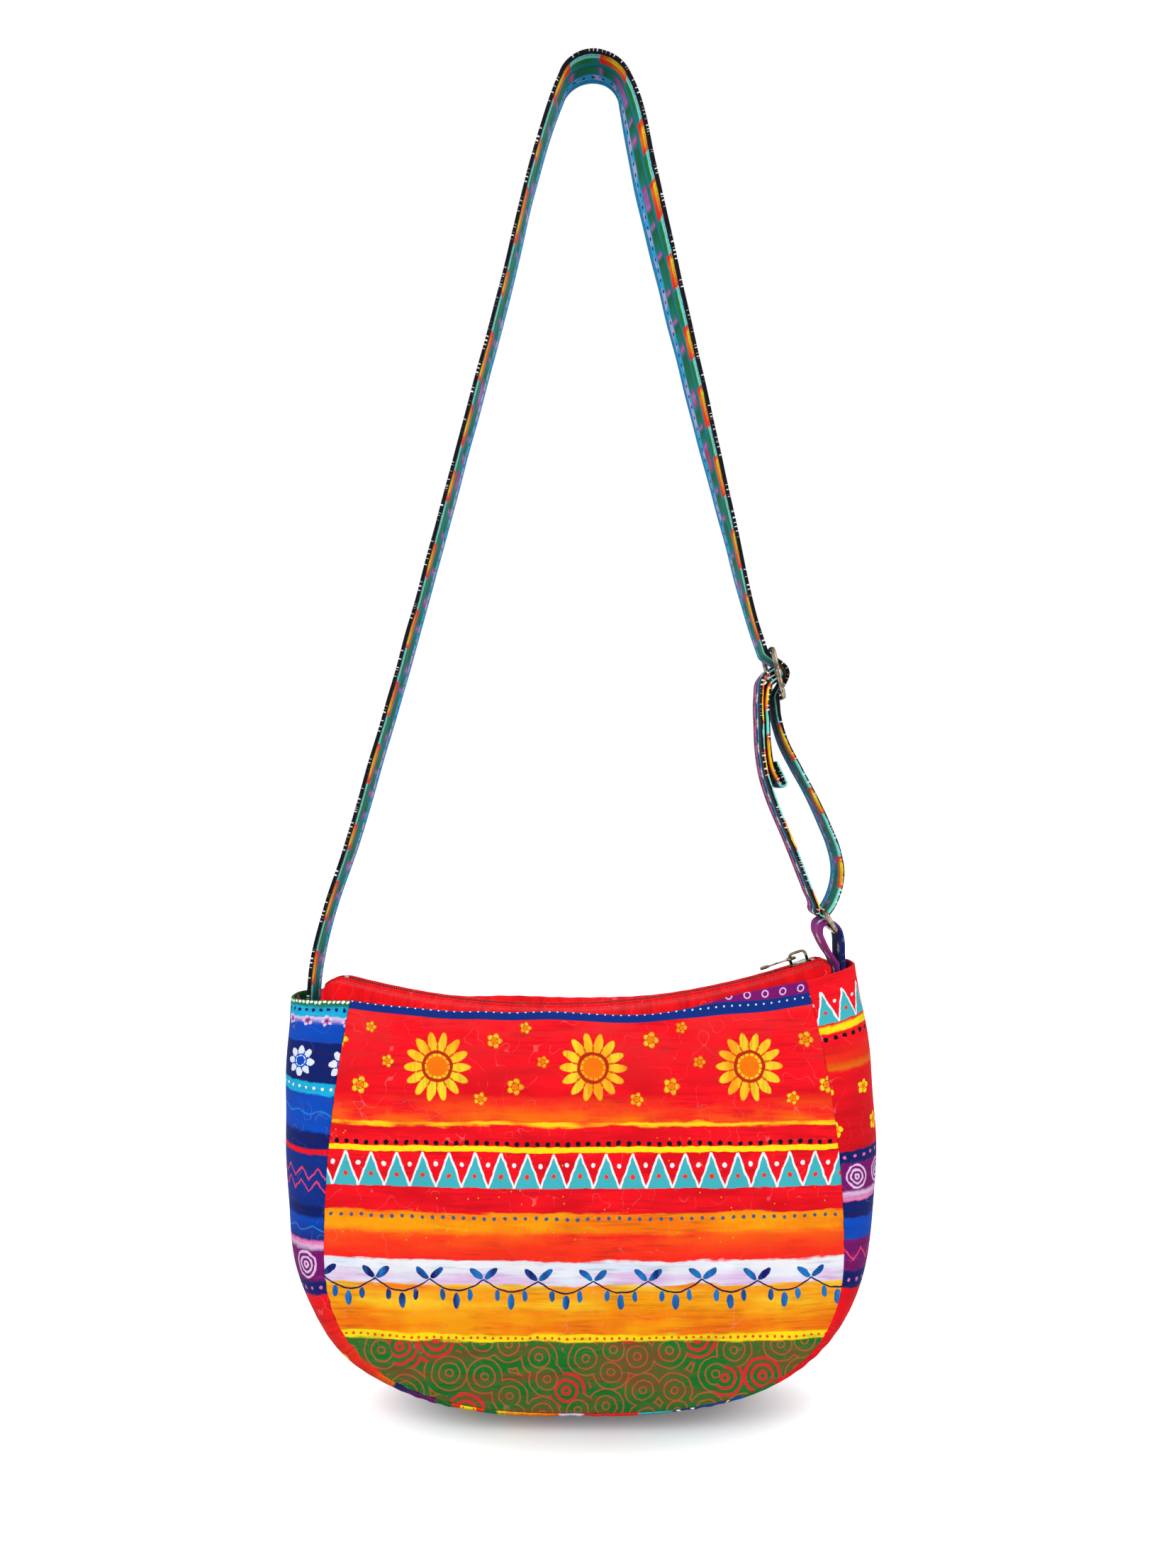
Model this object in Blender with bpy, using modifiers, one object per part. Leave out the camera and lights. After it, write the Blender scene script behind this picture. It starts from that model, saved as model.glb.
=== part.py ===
"""Crossbody bag of printed canvas, hanging by its strap from a peg.

Metres, +Z up. The front of the bag faces -Y and +X is to the right of someone who looks at it.
The origin is the hang point: the middle of the strap's inner face, where it goes over the peg.
"""

import math

import bmesh
import bpy
import numpy as np
from mathutils import Matrix, Vector

# Cloth and clearances
CANVAS = 0.0016
LINING = 0.0008
STRIP_CLOTH = 0.0009
CLEARANCE = 0.0004
SEAM_GAP = 0.0004

# Bag outline, taken at the seam between the front panel and the gusset
BAG_X = -0.0054
BOWL_TOP_Z = -0.690
HALF_WIDTH = 0.1492
BOWL_DEPTH = 0.097
BOWL_POWER = 2.7
LEFT_SIDE_HEIGHT = 0.133
RIGHT_SIDE_HEIGHT = 0.1445
LEFT_TAPER = 0.0131
RIGHT_TAPER = 0.0196
PANEL_BULGE = 0.0171
PANEL_TOP_FLATNESS = 0.72

# Top edge of the front and back panels: share of the width, height over the left corner
TOP_EDGE = [(0.0, 0.0), (0.16, -0.0045), (0.45, -0.0058), (0.70, -0.0060), (0.88, 0.0060), (1.0, 0.0115)]

# Gusset: stations along its length, half the bag's depth there and how far the strip bulges out
GUSSET_STATION = [0.0, 0.20, 0.34, 0.50, 0.66, 0.80, 1.0]
GUSSET_HALF_DEPTH = [0.023, 0.034, 0.041, 0.042, 0.041, 0.034, 0.023]
GUSSET_BULGE = [0.0385, 0.0262, 0.0122, 0.0116, 0.0122, 0.0226, 0.0335]
GUSSET_TOP_POWER = 3.0
GUSSET_POWER = 2.1
GUSSET_FLAT_END = 0.12
LINING_END = 0.045
LINING_INSET = 0.0027
LINING_DROP = 0.005

# Zip: its line is an arc between two points, each given from the bag's corner on its side, and
# past them the ends turn down into the bag
ZIP_FROM_LEFT_CORNER = (-0.0055, 0.0080)
ZIP_FROM_RIGHT_CORNER = (0.0103, 0.0079)
ZIP_SAG = 0.0215
ZIP_TURN_LEFT = (0.012, 60.0)
ZIP_TURN_RIGHT = (0.0042, 62.0)
ARC_STEPS = 48
TURN_STEPS = 6
ZIP_STEPS = ARC_STEPS + 2 * TURN_STEPS
TAPE_EDGE = 0.0135
TAPE_THICKNESS = 0.0008
ZIP_CENTRE_GAP = 0.0007
COIL_WIDTH = 0.0026
COIL_HEIGHT = 0.0022
STRIP_FOLD = 0.0066
STRIP_MARGIN = 0.0142
STRIP_PUFF = 0.0016
STRIP_FLAT_SHARE = 0.4
STRIP_BELOW_RIM = 0.002
STRIP_LEAST_DROP = 0.001
STOP_LENGTH = 0.0028
STOP_HEIGHT = 0.0024

# Slider and pull tab, in the zip's own frame: along the zip, across it, and up from the tape
SLIDER_LENGTH = 0.0128
SLIDER_PLATE = 0.0011
SLIDER_FLANGE = 0.0008
SLIDER_TRAVEL_GAP = 0.0005
BRIDGE_WIRE = 0.0018
BRIDGE_SPAN = 0.0100
BRIDGE_RISE = 0.0056
BRIDGE_BEND = 0.0026
PULL_LENGTH = 0.0215
PULL_THICKNESS = 0.0015
PULL_EYE_WIDTH = 0.0068
PULL_TIP_WIDTH = 0.0058
PULL_NECK_WIDTH = 0.0042

# Strap, seen from the front as a line; the ribbon's width lies along Y
STRAP_WIDTH = 0.035
STRAP_THICKNESS = 0.0026
PEG_RADIUS = 0.0187
STRAP_FOOT_DEPTH = 0.020
LEFT_LEG_LEAN = 15.5
RIGHT_LEG_LEAN = 12.6
LEFT_LEG_BOW = -0.0027
RIGHT_LEG_BOW = -0.001
RIGHT_LEG_TWIST = -20.0
TWIST_STATION = [0.0, 0.06, 0.39, 0.65, 0.80, 1.0]
TWIST_SHARE = [0.0, 0.90, 0.75, 0.52, 0.30, 0.0]
TWIST_END_ABOVE_ADJUSTER = 0.028
LEG_FROM_FOOT = (0.0021, 0.021)
LEG_SLACK = 0.0015

# Places that the strap's plies run through between the adjuster and the ring. Those named for the
# adjuster are in its tilted frame, across it and up; those named for the ring are x and z
SLACK_BELOW_ADJUSTER = [
    (-0.0042, -0.0240), (-0.0036, -0.0382), (0.0008, -0.0572), (0.0056, -0.0748), (0.0096, -0.0930),
]
SLACK_ABOVE_RING = [(0.0092, 0.0352), (0.0112, 0.0228), (0.0092, 0.0105)]
TAUT_ABOVE_RING = [(-0.0063, 0.0105), (-0.0100, 0.0200), (-0.0163, 0.0360)]
TAUT_BELOW_ADJUSTER = [
    (-0.0180, -0.0698), (-0.0188, -0.0575), (-0.0178, -0.0415),
    (-0.0149, -0.0260), (-0.0114, -0.0105), (-0.0075, -0.0006),
]
SEWN_TAIL = [
    (-0.0045, -0.0052), (-0.0085, -0.0130), (-0.0112, -0.0262),
    (-0.0140, -0.0415), (-0.0146, -0.0545), (-0.0125, -0.0640),
]

# Steps along a ribbon: wide where it runs straight, fine where it turns by more than the limit
SPLINE_STEPS = 1200
WIDE_STEP = 0.011
FINE_STEP = 0.0030
TURN_LIMIT = 0.05

# Adjuster: a wire frame with three bars; the strap runs over its middle bar. It is placed from
# the ring's top bar
ADJUSTER_FROM_RING = (-0.02745, 0.14015)
ADJUSTER_TILT = 13.0
ADJUSTER_BAR_PITCH = 0.0146
WIRE = 0.0030
WIRE_PLAY = 0.0015
MIDDLE_BAR_RADIUS = 0.00144
FRAME_CORNER = 0.003

# Ring and the cloth tab that holds it; the ring's top bar is placed from the tab's foot at the rim
RING_FROM_TAB_FOOT = (-0.01234, 0.0341)
RING_TILT = 30.0
RING_BAR_PITCH = 0.0129
TAB_WIDTH = 0.032
TAB_FOOT_DEPTH = 0.016
TAB_LEAN = (0.0004, 0.0080)
TAB_INNER_LEAN = (0.0012, 0.0030)
TAB_LOOP = [
    (0.0049, -0.0046), (0.0032, 0.0008), (0.0010, 0.0033), (-0.0036, 0.0045),
    (-0.0068, 0.0026), (-0.0076, -0.0018), (-0.0057, -0.0070), (-0.0026, -0.0130),
]

COLOURS = {
    "front_panel": (0.78, 0.03, 0.03),
    "back_panel": (0.78, 0.03, 0.03),
    "gusset": (0.03, 0.09, 0.40),
    "zip_strip": (0.70, 0.01, 0.015),
    "zip_tape": (0.45, 0.006, 0.01),
    "zip_coil": (0.40, 0.006, 0.01),
    "metal": (0.62, 0.60, 0.56),
    "strap": (0.05, 0.35, 0.42),
    "ring_tab": (0.03, 0.05, 0.28),
    "lining": (0.30, 0.02, 0.03),
}


def smooth_through(stations, values, at):
    """Cubic through (station, value) pairs, with each slope taken from the two neighbours."""
    stations = np.asarray(stations, float)
    values = np.asarray(values, float)
    slopes = np.gradient(values, stations)
    k = np.clip(np.searchsorted(stations, at, side="right") - 1, 0, len(stations) - 2)
    width = stations[k + 1] - stations[k]
    s = np.clip((at - stations[k]) / width, 0.0, 1.0)
    start = (1 + 2 * s) * (1 - s) ** 2
    end = s * s * (3 - 2 * s)
    rise = s * (1 - s) ** 2 * width
    fall = s * s * (s - 1) * width
    return start * values[k] + end * values[k + 1] + rise * slopes[k] + fall * slopes[k + 1]


def signed_power(value, power):
    """Power of a cosine or sine that keeps its sign."""
    return np.sign(value) * np.abs(value) ** power


class Route:
    """A line in the XZ plane that is read by its share of the whole length, 0 to 1."""

    def __init__(self, points):
        self.points = np.asarray(points, float)
        steps = np.linalg.norm(np.diff(self.points, axis=0), axis=1)
        self.length = float(steps.sum())
        self.share = np.concatenate([[0.0], np.cumsum(steps)]) / self.length

    def at(self, share):
        x = np.interp(share, self.share, self.points[:, 0])
        z = np.interp(share, self.share, self.points[:, 1])
        return np.array([x, z])

    def direction(self, share, reach=0.002):
        before = self.at(max(share - reach, 0.0))
        after = self.at(min(share + reach, 1.0))
        step = after - before
        return step / np.linalg.norm(step)


def seam_route():
    """The seam line: down the left side, round the bowl and up the right side."""
    rise = np.linspace(1.0, 0.0, 60)
    left = np.column_stack([
        BAG_X - HALF_WIDTH + LEFT_TAPER * rise**2,
        BOWL_TOP_Z + LEFT_SIDE_HEIGHT * rise,
    ])
    turn = np.linspace(math.pi, 2 * math.pi, 241)
    bowl = np.column_stack([
        BAG_X + HALF_WIDTH * signed_power(np.cos(turn), 2 / BOWL_POWER),
        BOWL_TOP_Z + BOWL_DEPTH * signed_power(np.sin(turn), 2 / BOWL_POWER),
    ])
    right = np.column_stack([
        BAG_X + HALF_WIDTH - RIGHT_TAPER * rise**2,
        BOWL_TOP_Z + RIGHT_SIDE_HEIGHT * rise,
    ])
    return Route(np.concatenate([left[:-1], bowl, right[::-1][1:]]))


SEAM = seam_route()
LEFT_CORNER = SEAM.at(0.0)
RIGHT_CORNER = SEAM.at(1.0)


def outward(share):
    """Unit vector out of the bag at the seam; the left end is eased to the horizontal."""
    along = SEAM.direction(share)
    normal = np.array([along[1], -along[0]])
    level = np.array([-1.0, 0.0])
    ease = max(0.0, 1.0 - share / GUSSET_FLAT_END)
    mixed = normal * (1 - ease) + level * ease
    return mixed / np.linalg.norm(mixed)


def half_depth(share):
    return smooth_through(GUSSET_STATION, GUSSET_HALF_DEPTH, share)


def bulge(share):
    return smooth_through(GUSSET_STATION, GUSSET_BULGE, share)


def gusset_power(share):
    """The gusset's section is boxy at its two top ends and round below."""
    end = abs(2 * share - 1) ** 6
    return GUSSET_POWER + (GUSSET_TOP_POWER - GUSSET_POWER) * end


def gusset_point(share, across, inset=0.0):
    """Point of the gusset: across runs from 0 at the front seam to 1 at the back seam.

    The rows crowd at the seams, where the cloth leaves the panel without a crease.
    """
    turn = math.pi / 2 * math.sin(math.pi * (across - 0.5))
    power = 2 / gusset_power(share)
    depth = (half_depth(share) - inset) * signed_power(np.sin(turn), power)
    reach = SEAM_GAP / 2 + (bulge(share) - inset) * signed_power(np.cos(turn), power)
    x, z = SEAM.at(share) + outward(share) * reach
    return Vector((x, depth, z))


def top_edge(width_share):
    """Top edge of a panel from its left corner to its right corner, x and z."""
    stations = [pair[0] for pair in TOP_EDGE]
    heights = [pair[1] for pair in TOP_EDGE]
    x = LEFT_CORNER[0] + (RIGHT_CORNER[0] - LEFT_CORNER[0]) * width_share
    straight = smooth_through(stations, heights, width_share)
    left_miss = LEFT_CORNER[1]
    right_miss = RIGHT_CORNER[1] - LEFT_CORNER[1] - TOP_EDGE[-1][1]
    return np.array([x, left_miss + straight + right_miss * width_share])


def panel_bulge(u, v):
    """How far a panel stands out past its seam, u across and v up."""
    across = 4 * u * (1 - u)
    up = (1 - (1 - v) ** 3) * (1 - PANEL_TOP_FLATNESS * v)
    return PANEL_BULGE * across * up


LOWER_LEFT = 0.30
LOWER_RIGHT = 0.70


def panel_edge(share, inset):
    """Point of a panel's edge at the seam, half the seam gap inside the line."""
    x, z = SEAM.at(share) - outward(share) * (SEAM_GAP / 2)
    return np.array([x, half_depth(share) - inset, z])


def panel_point(u, v, side, inset=0.0, drop=0.0):
    """Point of the front (side -1) or back (side +1) panel, a patch between its four edges."""
    bottom = panel_edge(LOWER_LEFT + (LOWER_RIGHT - LOWER_LEFT) * u, inset)
    left = panel_edge(LOWER_LEFT * (1 - v), inset)
    right = panel_edge(LOWER_RIGHT + (1 - LOWER_RIGHT) * v, inset)
    left_top = panel_edge(0.0, inset)
    right_top = panel_edge(1.0, inset)
    left_low = panel_edge(LOWER_LEFT, inset)
    right_low = panel_edge(LOWER_RIGHT, inset)
    x, z = top_edge(u)
    top = left_top * (1 - u) + right_top * u
    top[0] = x + (left_top[0] - LEFT_CORNER[0]) * (1 - 2 * u)
    top[2] = z
    ruled = (1 - v) * bottom + v * top + (1 - u) * left + u * right
    corners = (1 - v) * ((1 - u) * left_low + u * right_low) + v * ((1 - u) * left_top + u * right_top)
    x, depth, z = ruled - corners
    depth += panel_bulge(u, v)
    z -= drop * v**4
    return Vector((x, side * depth, z))


class ZipLine:
    """The zip's line: an arc that sags, with an end at each side that turns down."""

    def __init__(self):
        left = LEFT_CORNER + np.array(ZIP_FROM_LEFT_CORNER)
        right = RIGHT_CORNER + np.array(ZIP_FROM_RIGHT_CORNER)
        chord = right - left
        half = np.linalg.norm(chord) / 2
        self.radius = (half**2 + ZIP_SAG**2) / (2 * ZIP_SAG)
        up = np.array([-chord[1], chord[0]]) / np.linalg.norm(chord)
        self.centre = (left + right) / 2 + up * (self.radius - ZIP_SAG)
        self.start = math.asin((left[0] - self.centre[0]) / self.radius)
        self.end = math.asin((right[0] - self.centre[0]) / self.radius)
        angles = np.linspace(self.start, self.end, ARC_STEPS + 1)
        places = [self.on_arc(angle) for angle in angles]
        before = self.turned_end(self.start, -1, *ZIP_TURN_LEFT)
        after = self.turned_end(self.end, 1, *ZIP_TURN_RIGHT)
        places = before[::-1] + places + after
        self.points = np.array([place[0] for place in places])
        self.ups = np.array([place[1] for place in places])

    def on_arc(self, angle):
        """Point of the arc and the unit vector up from the tape, at an angle from straight down."""
        up = np.array([-math.sin(angle), math.cos(angle)])
        return self.centre - up * self.radius, up

    def turned_end(self, angle, way, bend, degrees):
        """Places past one end of the arc, where the line bends down round a small circle."""
        point, up = self.on_arc(angle)
        pivot = point - up * bend
        places = []
        for step in range(1, TURN_STEPS + 1):
            turn = -way * math.radians(degrees) * step / TURN_STEPS
            cos, sin = math.cos(turn), math.sin(turn)
            turned = np.array([cos * up[0] - sin * up[1], sin * up[0] + cos * up[1]])
            places.append((pivot + turned * bend, turned))
        return places

    def place(self, share, lift=0.0):
        """Point x, z at a share of the line from its left end, lifted off the tape."""
        last = len(self.points) - 1
        at = share * last
        k = min(int(at), last - 1)
        part = at - k
        point = self.points[k] * (1 - part) + self.points[k + 1] * part
        up = self.ups[k] * (1 - part) + self.ups[k + 1] * part
        return point + up / np.linalg.norm(up) * lift


ZIP = ZipLine()


def zip_share(angle):
    """Share of the zip's line at an angle of its arc."""
    step = (angle - ZIP.start) / (ZIP.end - ZIP.start) * ARC_STEPS
    return (TURN_STEPS + step) / ZIP_STEPS


def inside_depth(x):
    """Half the clear depth inside the bag's top, just below its edge, at x."""
    wall = CANVAS + CLEARANCE + STRIP_CLOTH / 2
    if LEFT_CORNER[0] <= x <= RIGHT_CORNER[0]:
        u = (x - LEFT_CORNER[0]) / (RIGHT_CORNER[0] - LEFT_CORNER[0])
        return half_depth(0.0) + panel_bulge(u, 1.0) - wall
    share = 0.0 if x < LEFT_CORNER[0] else 1.0
    out = abs(x - SEAM.at(share)[0])
    reach = min(out / (bulge(share) - wall), 0.999)
    power = gusset_power(share)
    return (half_depth(share) - wall) * (1 - reach**power) ** (1 / power)


def rim_height(x):
    """Height of the bag's top edge at x, on the panels and past them on the gusset."""
    u = (x - LEFT_CORNER[0]) / (RIGHT_CORNER[0] - LEFT_CORNER[0])
    if u < 0:
        return LEFT_CORNER[1]
    if u > 1:
        way = outward(1.0)
        return RIGHT_CORNER[1] + (x - RIGHT_CORNER[0]) * way[1] / way[0]
    return top_edge(u)[1]


def strip_point(share, across, side):
    """Plain strip beside the zip: over the tape from its fold, then down to the bag's rim."""
    lift = TAPE_THICKNESS / 2 + CLEARANCE + STRIP_CLOTH / 2
    over = STRIP_FLAT_SHARE
    x, z = ZIP.place(share, lift)
    if across < over:
        depth = STRIP_FOLD + (STRIP_MARGIN - STRIP_FOLD) * across / over
        return Vector((x, side * depth, z))
    part = (across - over) / (1 - over)
    far = inside_depth(x)
    far_z = min(rim_height(x) - STRIP_BELOW_RIM, z - STRIP_LEAST_DROP)
    depth = STRIP_MARGIN + (far - STRIP_MARGIN) * part
    puff = STRIP_PUFF * math.sin(math.pi * part)
    return Vector((x, side * depth, z + (far_z - z) * part**1.4 + puff))


def new_material(name, colour, roughness, metallic=0.0):
    material = bpy.data.materials.get(name)
    if material is None:
        material = bpy.data.materials.new(name)
        material.use_nodes = True
        shader = material.node_tree.nodes["Principled BSDF"]
        shader.inputs["Base Color"].default_value = (*colour, 1.0)
        shader.inputs["Roughness"].default_value = roughness
        shader.inputs["Metallic"].default_value = metallic
    return material


CLOTH_ROUGHNESS = 0.85
METAL_ROUGHNESS = 0.28


def cloth_material(kind):
    return new_material(kind, COLOURS[kind], CLOTH_ROUGHNESS)


def metal_material():
    return new_material("metal", COLOURS["metal"], METAL_ROUGHNESS, 1.0)


def new_object(name, mesh, material, collection):
    piece = bpy.data.objects.new(name, mesh)
    collection.objects.link(piece)
    piece.data.materials.clear()
    piece.data.materials.append(material)
    return piece


def sheet(name, point, columns, rows, thickness, material, offset=-1.0):
    """Cloth piece: a grid moved to point(u, v), then thickened by Solidify."""
    grid = bmesh.new()
    bmesh.ops.create_grid(grid, x_segments=columns, y_segments=rows, size=0.5)
    for vert in grid.verts:
        vert.co = point(vert.co.x + 0.5, vert.co.y + 0.5)
    mesh = bpy.data.meshes.new(name)
    grid.to_mesh(mesh)
    grid.free()
    mesh.shade_smooth()
    piece = new_object(name, mesh, material, PARTS)
    thicken = piece.modifiers.new("cloth", "SOLIDIFY")
    thicken.thickness = thickness
    thicken.offset = offset
    return piece


def box(name, low, high, collection, bevel=0.0):
    """Box between two corners, as a mesh object."""
    cube = bmesh.new()
    bmesh.ops.create_cube(cube, size=1.0)
    low = Vector(low)
    high = Vector(high)
    for vert in cube.verts:
        for axis in range(3):
            vert.co[axis] = low[axis] + (high[axis] - low[axis]) * (vert.co[axis] + 0.5)
    if bevel:
        bmesh.ops.bevel(cube, geom=list(cube.edges), offset=bevel, segments=1, affect="EDGES")
    mesh = bpy.data.meshes.new(name)
    cube.to_mesh(mesh)
    cube.free()
    return new_object(name, mesh, metal_material(), collection)


def wire(name, points, radius, cyclic, collection):
    """Round wire through points, turned from a bevelled curve into a mesh."""
    curve = bpy.data.curves.new(name, "CURVE")
    curve.dimensions = "3D"
    spline = curve.splines.new("POLY")
    spline.points.add(len(points) - 1)
    for target, point in zip(spline.points, points):
        target.co = (*point, 1.0)
    spline.use_cyclic_u = cyclic
    curve.bevel_depth = radius
    curve.bevel_resolution = 2
    curve.use_fill_caps = not cyclic
    draft = bpy.data.objects.new(name + "_draft", curve)
    bpy.context.scene.collection.objects.link(draft)
    seen = draft.evaluated_get(bpy.context.evaluated_depsgraph_get())
    mesh = bpy.data.meshes.new_from_object(seen)
    bpy.data.objects.remove(draft)
    welded = bmesh.new()
    welded.from_mesh(mesh)
    bmesh.ops.remove_doubles(welded, verts=welded.verts, dist=0.00001)
    welded.to_mesh(mesh)
    welded.free()
    mesh.shade_smooth()
    return new_object(name, mesh, metal_material(), collection)


def join_to(piece, others):
    """Union of a piece with cutters, which stay as hidden wire guides."""
    for other in others:
        other.hide_render = True
        other.display_type = "WIRE"
        union = piece.modifiers.new(other.name, "BOOLEAN")
        union.operation = "UNION"
        union.solver = "EXACT"
        union.object = other


def frame_points(half_long, half_wide, corner):
    """Rounded rectangle of wire: bars along Y, half_long apart from the middle along Z."""
    points = []
    for quarter in range(4):
        middle_y = (half_wide - corner) * (1 if quarter in (0, 3) else -1)
        middle_z = (half_long - corner) * (1 if quarter in (0, 1) else -1)
        for step in range(5):
            turn = math.radians(90 * quarter + 90 * step / 4)
            points.append((0.0, middle_y + corner * math.cos(turn), middle_z + corner * math.sin(turn)))
    return points


def panels():
    for name, side in (("front_panel", -1), ("back_panel", 1)):
        material = cloth_material(name)
        if side < 0:
            sheet(name, lambda u, v: panel_point(u, v, -1), 20, 12, CANVAS, material)
        else:
            sheet(name, lambda u, v: panel_point(1 - u, v, 1), 20, 12, CANVAS, material)


def gusset():
    sheet("gusset", lambda u, v: gusset_point(1 - u, v), 52, 10, CANVAS, cloth_material("gusset"))


def lining():
    material = cloth_material("lining")
    inset = LINING_INSET
    sheet("lining_front", lambda u, v: panel_point(u, v, -1, inset, LINING_DROP), 14, 9, LINING, material)
    sheet("lining_back", lambda u, v: panel_point(1 - u, v, 1, inset, LINING_DROP), 14, 9, LINING, material)

    def inner_gusset(u, v):
        share = LINING_END + (1 - 2 * LINING_END) * (1 - u)
        return gusset_point(share, v, inset)

    sheet("lining_gusset", inner_gusset, 36, 8, LINING, material)


def zip_cloth():
    """Strips, tapes and coils: one of each at the front and at the back of the zip."""
    coil_start = zip_share(ZIP.start)
    coil_end = zip_share(ZIP.end - (STOP_LENGTH + 2 * CLEARANCE) / ZIP.radius)
    coil_lift = TAPE_THICKNESS / 2 + CLEARANCE + COIL_HEIGHT / 2
    for name, side in (("front", -1), ("back", 1)):

        def strip(u, v):
            return strip_point(u, v if side > 0 else 1 - v, side)

        def tape(u, v):
            x, z = ZIP.place(u)
            near, far = side * ZIP_CENTRE_GAP, side * TAPE_EDGE
            return Vector((x, min(near, far) + abs(far - near) * v, z))

        def coil(u, v):
            x, z = ZIP.place(coil_start + (coil_end - coil_start) * u, coil_lift)
            near, far = side * ZIP_CENTRE_GAP, side * (ZIP_CENTRE_GAP + COIL_WIDTH)
            return Vector((x, min(near, far) + abs(far - near) * v, z))

        sheet("zip_strip_" + name, strip, 40, 5, STRIP_CLOTH, cloth_material("zip_strip"), 0.0)
        sheet("zip_tape_" + name, tape, 40, 1, TAPE_THICKNESS, cloth_material("zip_tape"), 0.0)
        sheet("zip_coil_" + name, coil, 30, 1, COIL_HEIGHT, cloth_material("zip_coil"), 0.0)


def zip_frame(angle):
    """World matrix of the zip's own frame: X along it, Y across it, Z up from the tape."""
    (x, z), up = ZIP.on_arc(angle)
    along = (up[1], 0.0, -up[0])
    return Matrix((
        (along[0], 0.0, up[0], x),
        (along[1], 1.0, 0.0, 0.0),
        (along[2], 0.0, up[1], z),
        (0.0, 0.0, 0.0, 1.0),
    ))


def stops():
    """Metal stops: one on each tape at the right end, one across both at the left end."""
    base = TAPE_THICKNESS / 2 + CLEARANCE
    inner = ZIP_CENTRE_GAP
    outer = ZIP_CENTRE_GAP + COIL_WIDTH
    half = STOP_LENGTH / 2
    top_angle = ZIP.end - half / ZIP.radius
    for name, side in (("zip_stop_top_front", -1), ("zip_stop_top_back", 1)):
        low = (-half, min(side * inner, side * outer), base)
        high = (half, max(side * inner, side * outer), base + STOP_HEIGHT)
        stop = box(name, low, high, PARTS, 0.0003)
        stop.matrix_world = zip_frame(top_angle)
    bottom_angle = ZIP.start - (half + CLEARANCE) / ZIP.radius
    stop = box("zip_stop_bottom", (-half, -outer, base), (half, outer, base + STOP_HEIGHT), PARTS, 0.0003)
    stop.matrix_world = zip_frame(bottom_angle)


def slider_angle():
    """The closed slider stands just left of the top stops."""
    return ZIP.end - (STOP_LENGTH + SLIDER_TRAVEL_GAP + SLIDER_LENGTH / 2) / ZIP.radius


def slider():
    """Two plates joined by a nose post, with side flanges and a wire bridge on top."""
    play = SLIDER_TRAVEL_GAP
    half = SLIDER_LENGTH / 2
    width = ZIP_CENTRE_GAP + COIL_WIDTH + play + SLIDER_FLANGE
    below = -(TAPE_THICKNESS / 2 + play)
    above = TAPE_THICKNESS / 2 + CLEARANCE + COIL_HEIGHT + play
    body = box("zip_slider", (-half, -width, above), (half, width, above + SLIDER_PLATE), PARTS, 0.0003)
    overlap = SLIDER_PLATE / 2
    floor = box("slider_floor", (-half * 0.9, -width, below - SLIDER_PLATE), (half * 0.9, width, below), GUIDES)
    post_half = ZIP_CENTRE_GAP / 2
    post = box(
        "slider_post",
        (half * 0.5, -post_half, below - overlap),
        (half * 0.85, post_half, above + overlap),
        GUIDES,
    )
    flange_low = TAPE_THICKNESS / 2 + play
    flanges = []
    for side in (-1, 1):
        edge = sorted((side * (width - SLIDER_FLANGE), side * (width - 0.0001)))
        flanges.append(box(
            "slider_flange",
            (-half * 0.8, edge[0], flange_low),
            (half * 0.8, edge[1], above + overlap),
            GUIDES,
        ))
    base = above + SLIDER_PLATE
    bridge = wire("slider_bridge", bridge_points(base), BRIDGE_WIRE / 2, False, GUIDES)
    others = [post, floor, bridge] + flanges
    place = zip_frame(slider_angle())
    for piece in [body] + others:
        piece.matrix_world = place
    join_to(body, others)
    return base


def bridge_points(base):
    """Side view of the bridge wire: up from the plate, over in two bends, and down again."""
    reach = BRIDGE_SPAN / 2
    top = base + BRIDGE_RISE
    points = [(-reach, 0.0, base - SLIDER_PLATE / 2), (-reach, 0.0, top - BRIDGE_BEND)]
    for way, first in ((-1, 180), (1, 90)):
        middle = way * (reach - BRIDGE_BEND)
        for step in range(1, 7):
            turn = math.radians(first - 15 * step)
            points.append((
                middle + BRIDGE_BEND * math.cos(turn),
                0.0,
                top - BRIDGE_BEND + BRIDGE_BEND * math.sin(turn),
            ))
    points.append((reach, 0.0, base - SLIDER_PLATE / 2))
    return points


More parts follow.
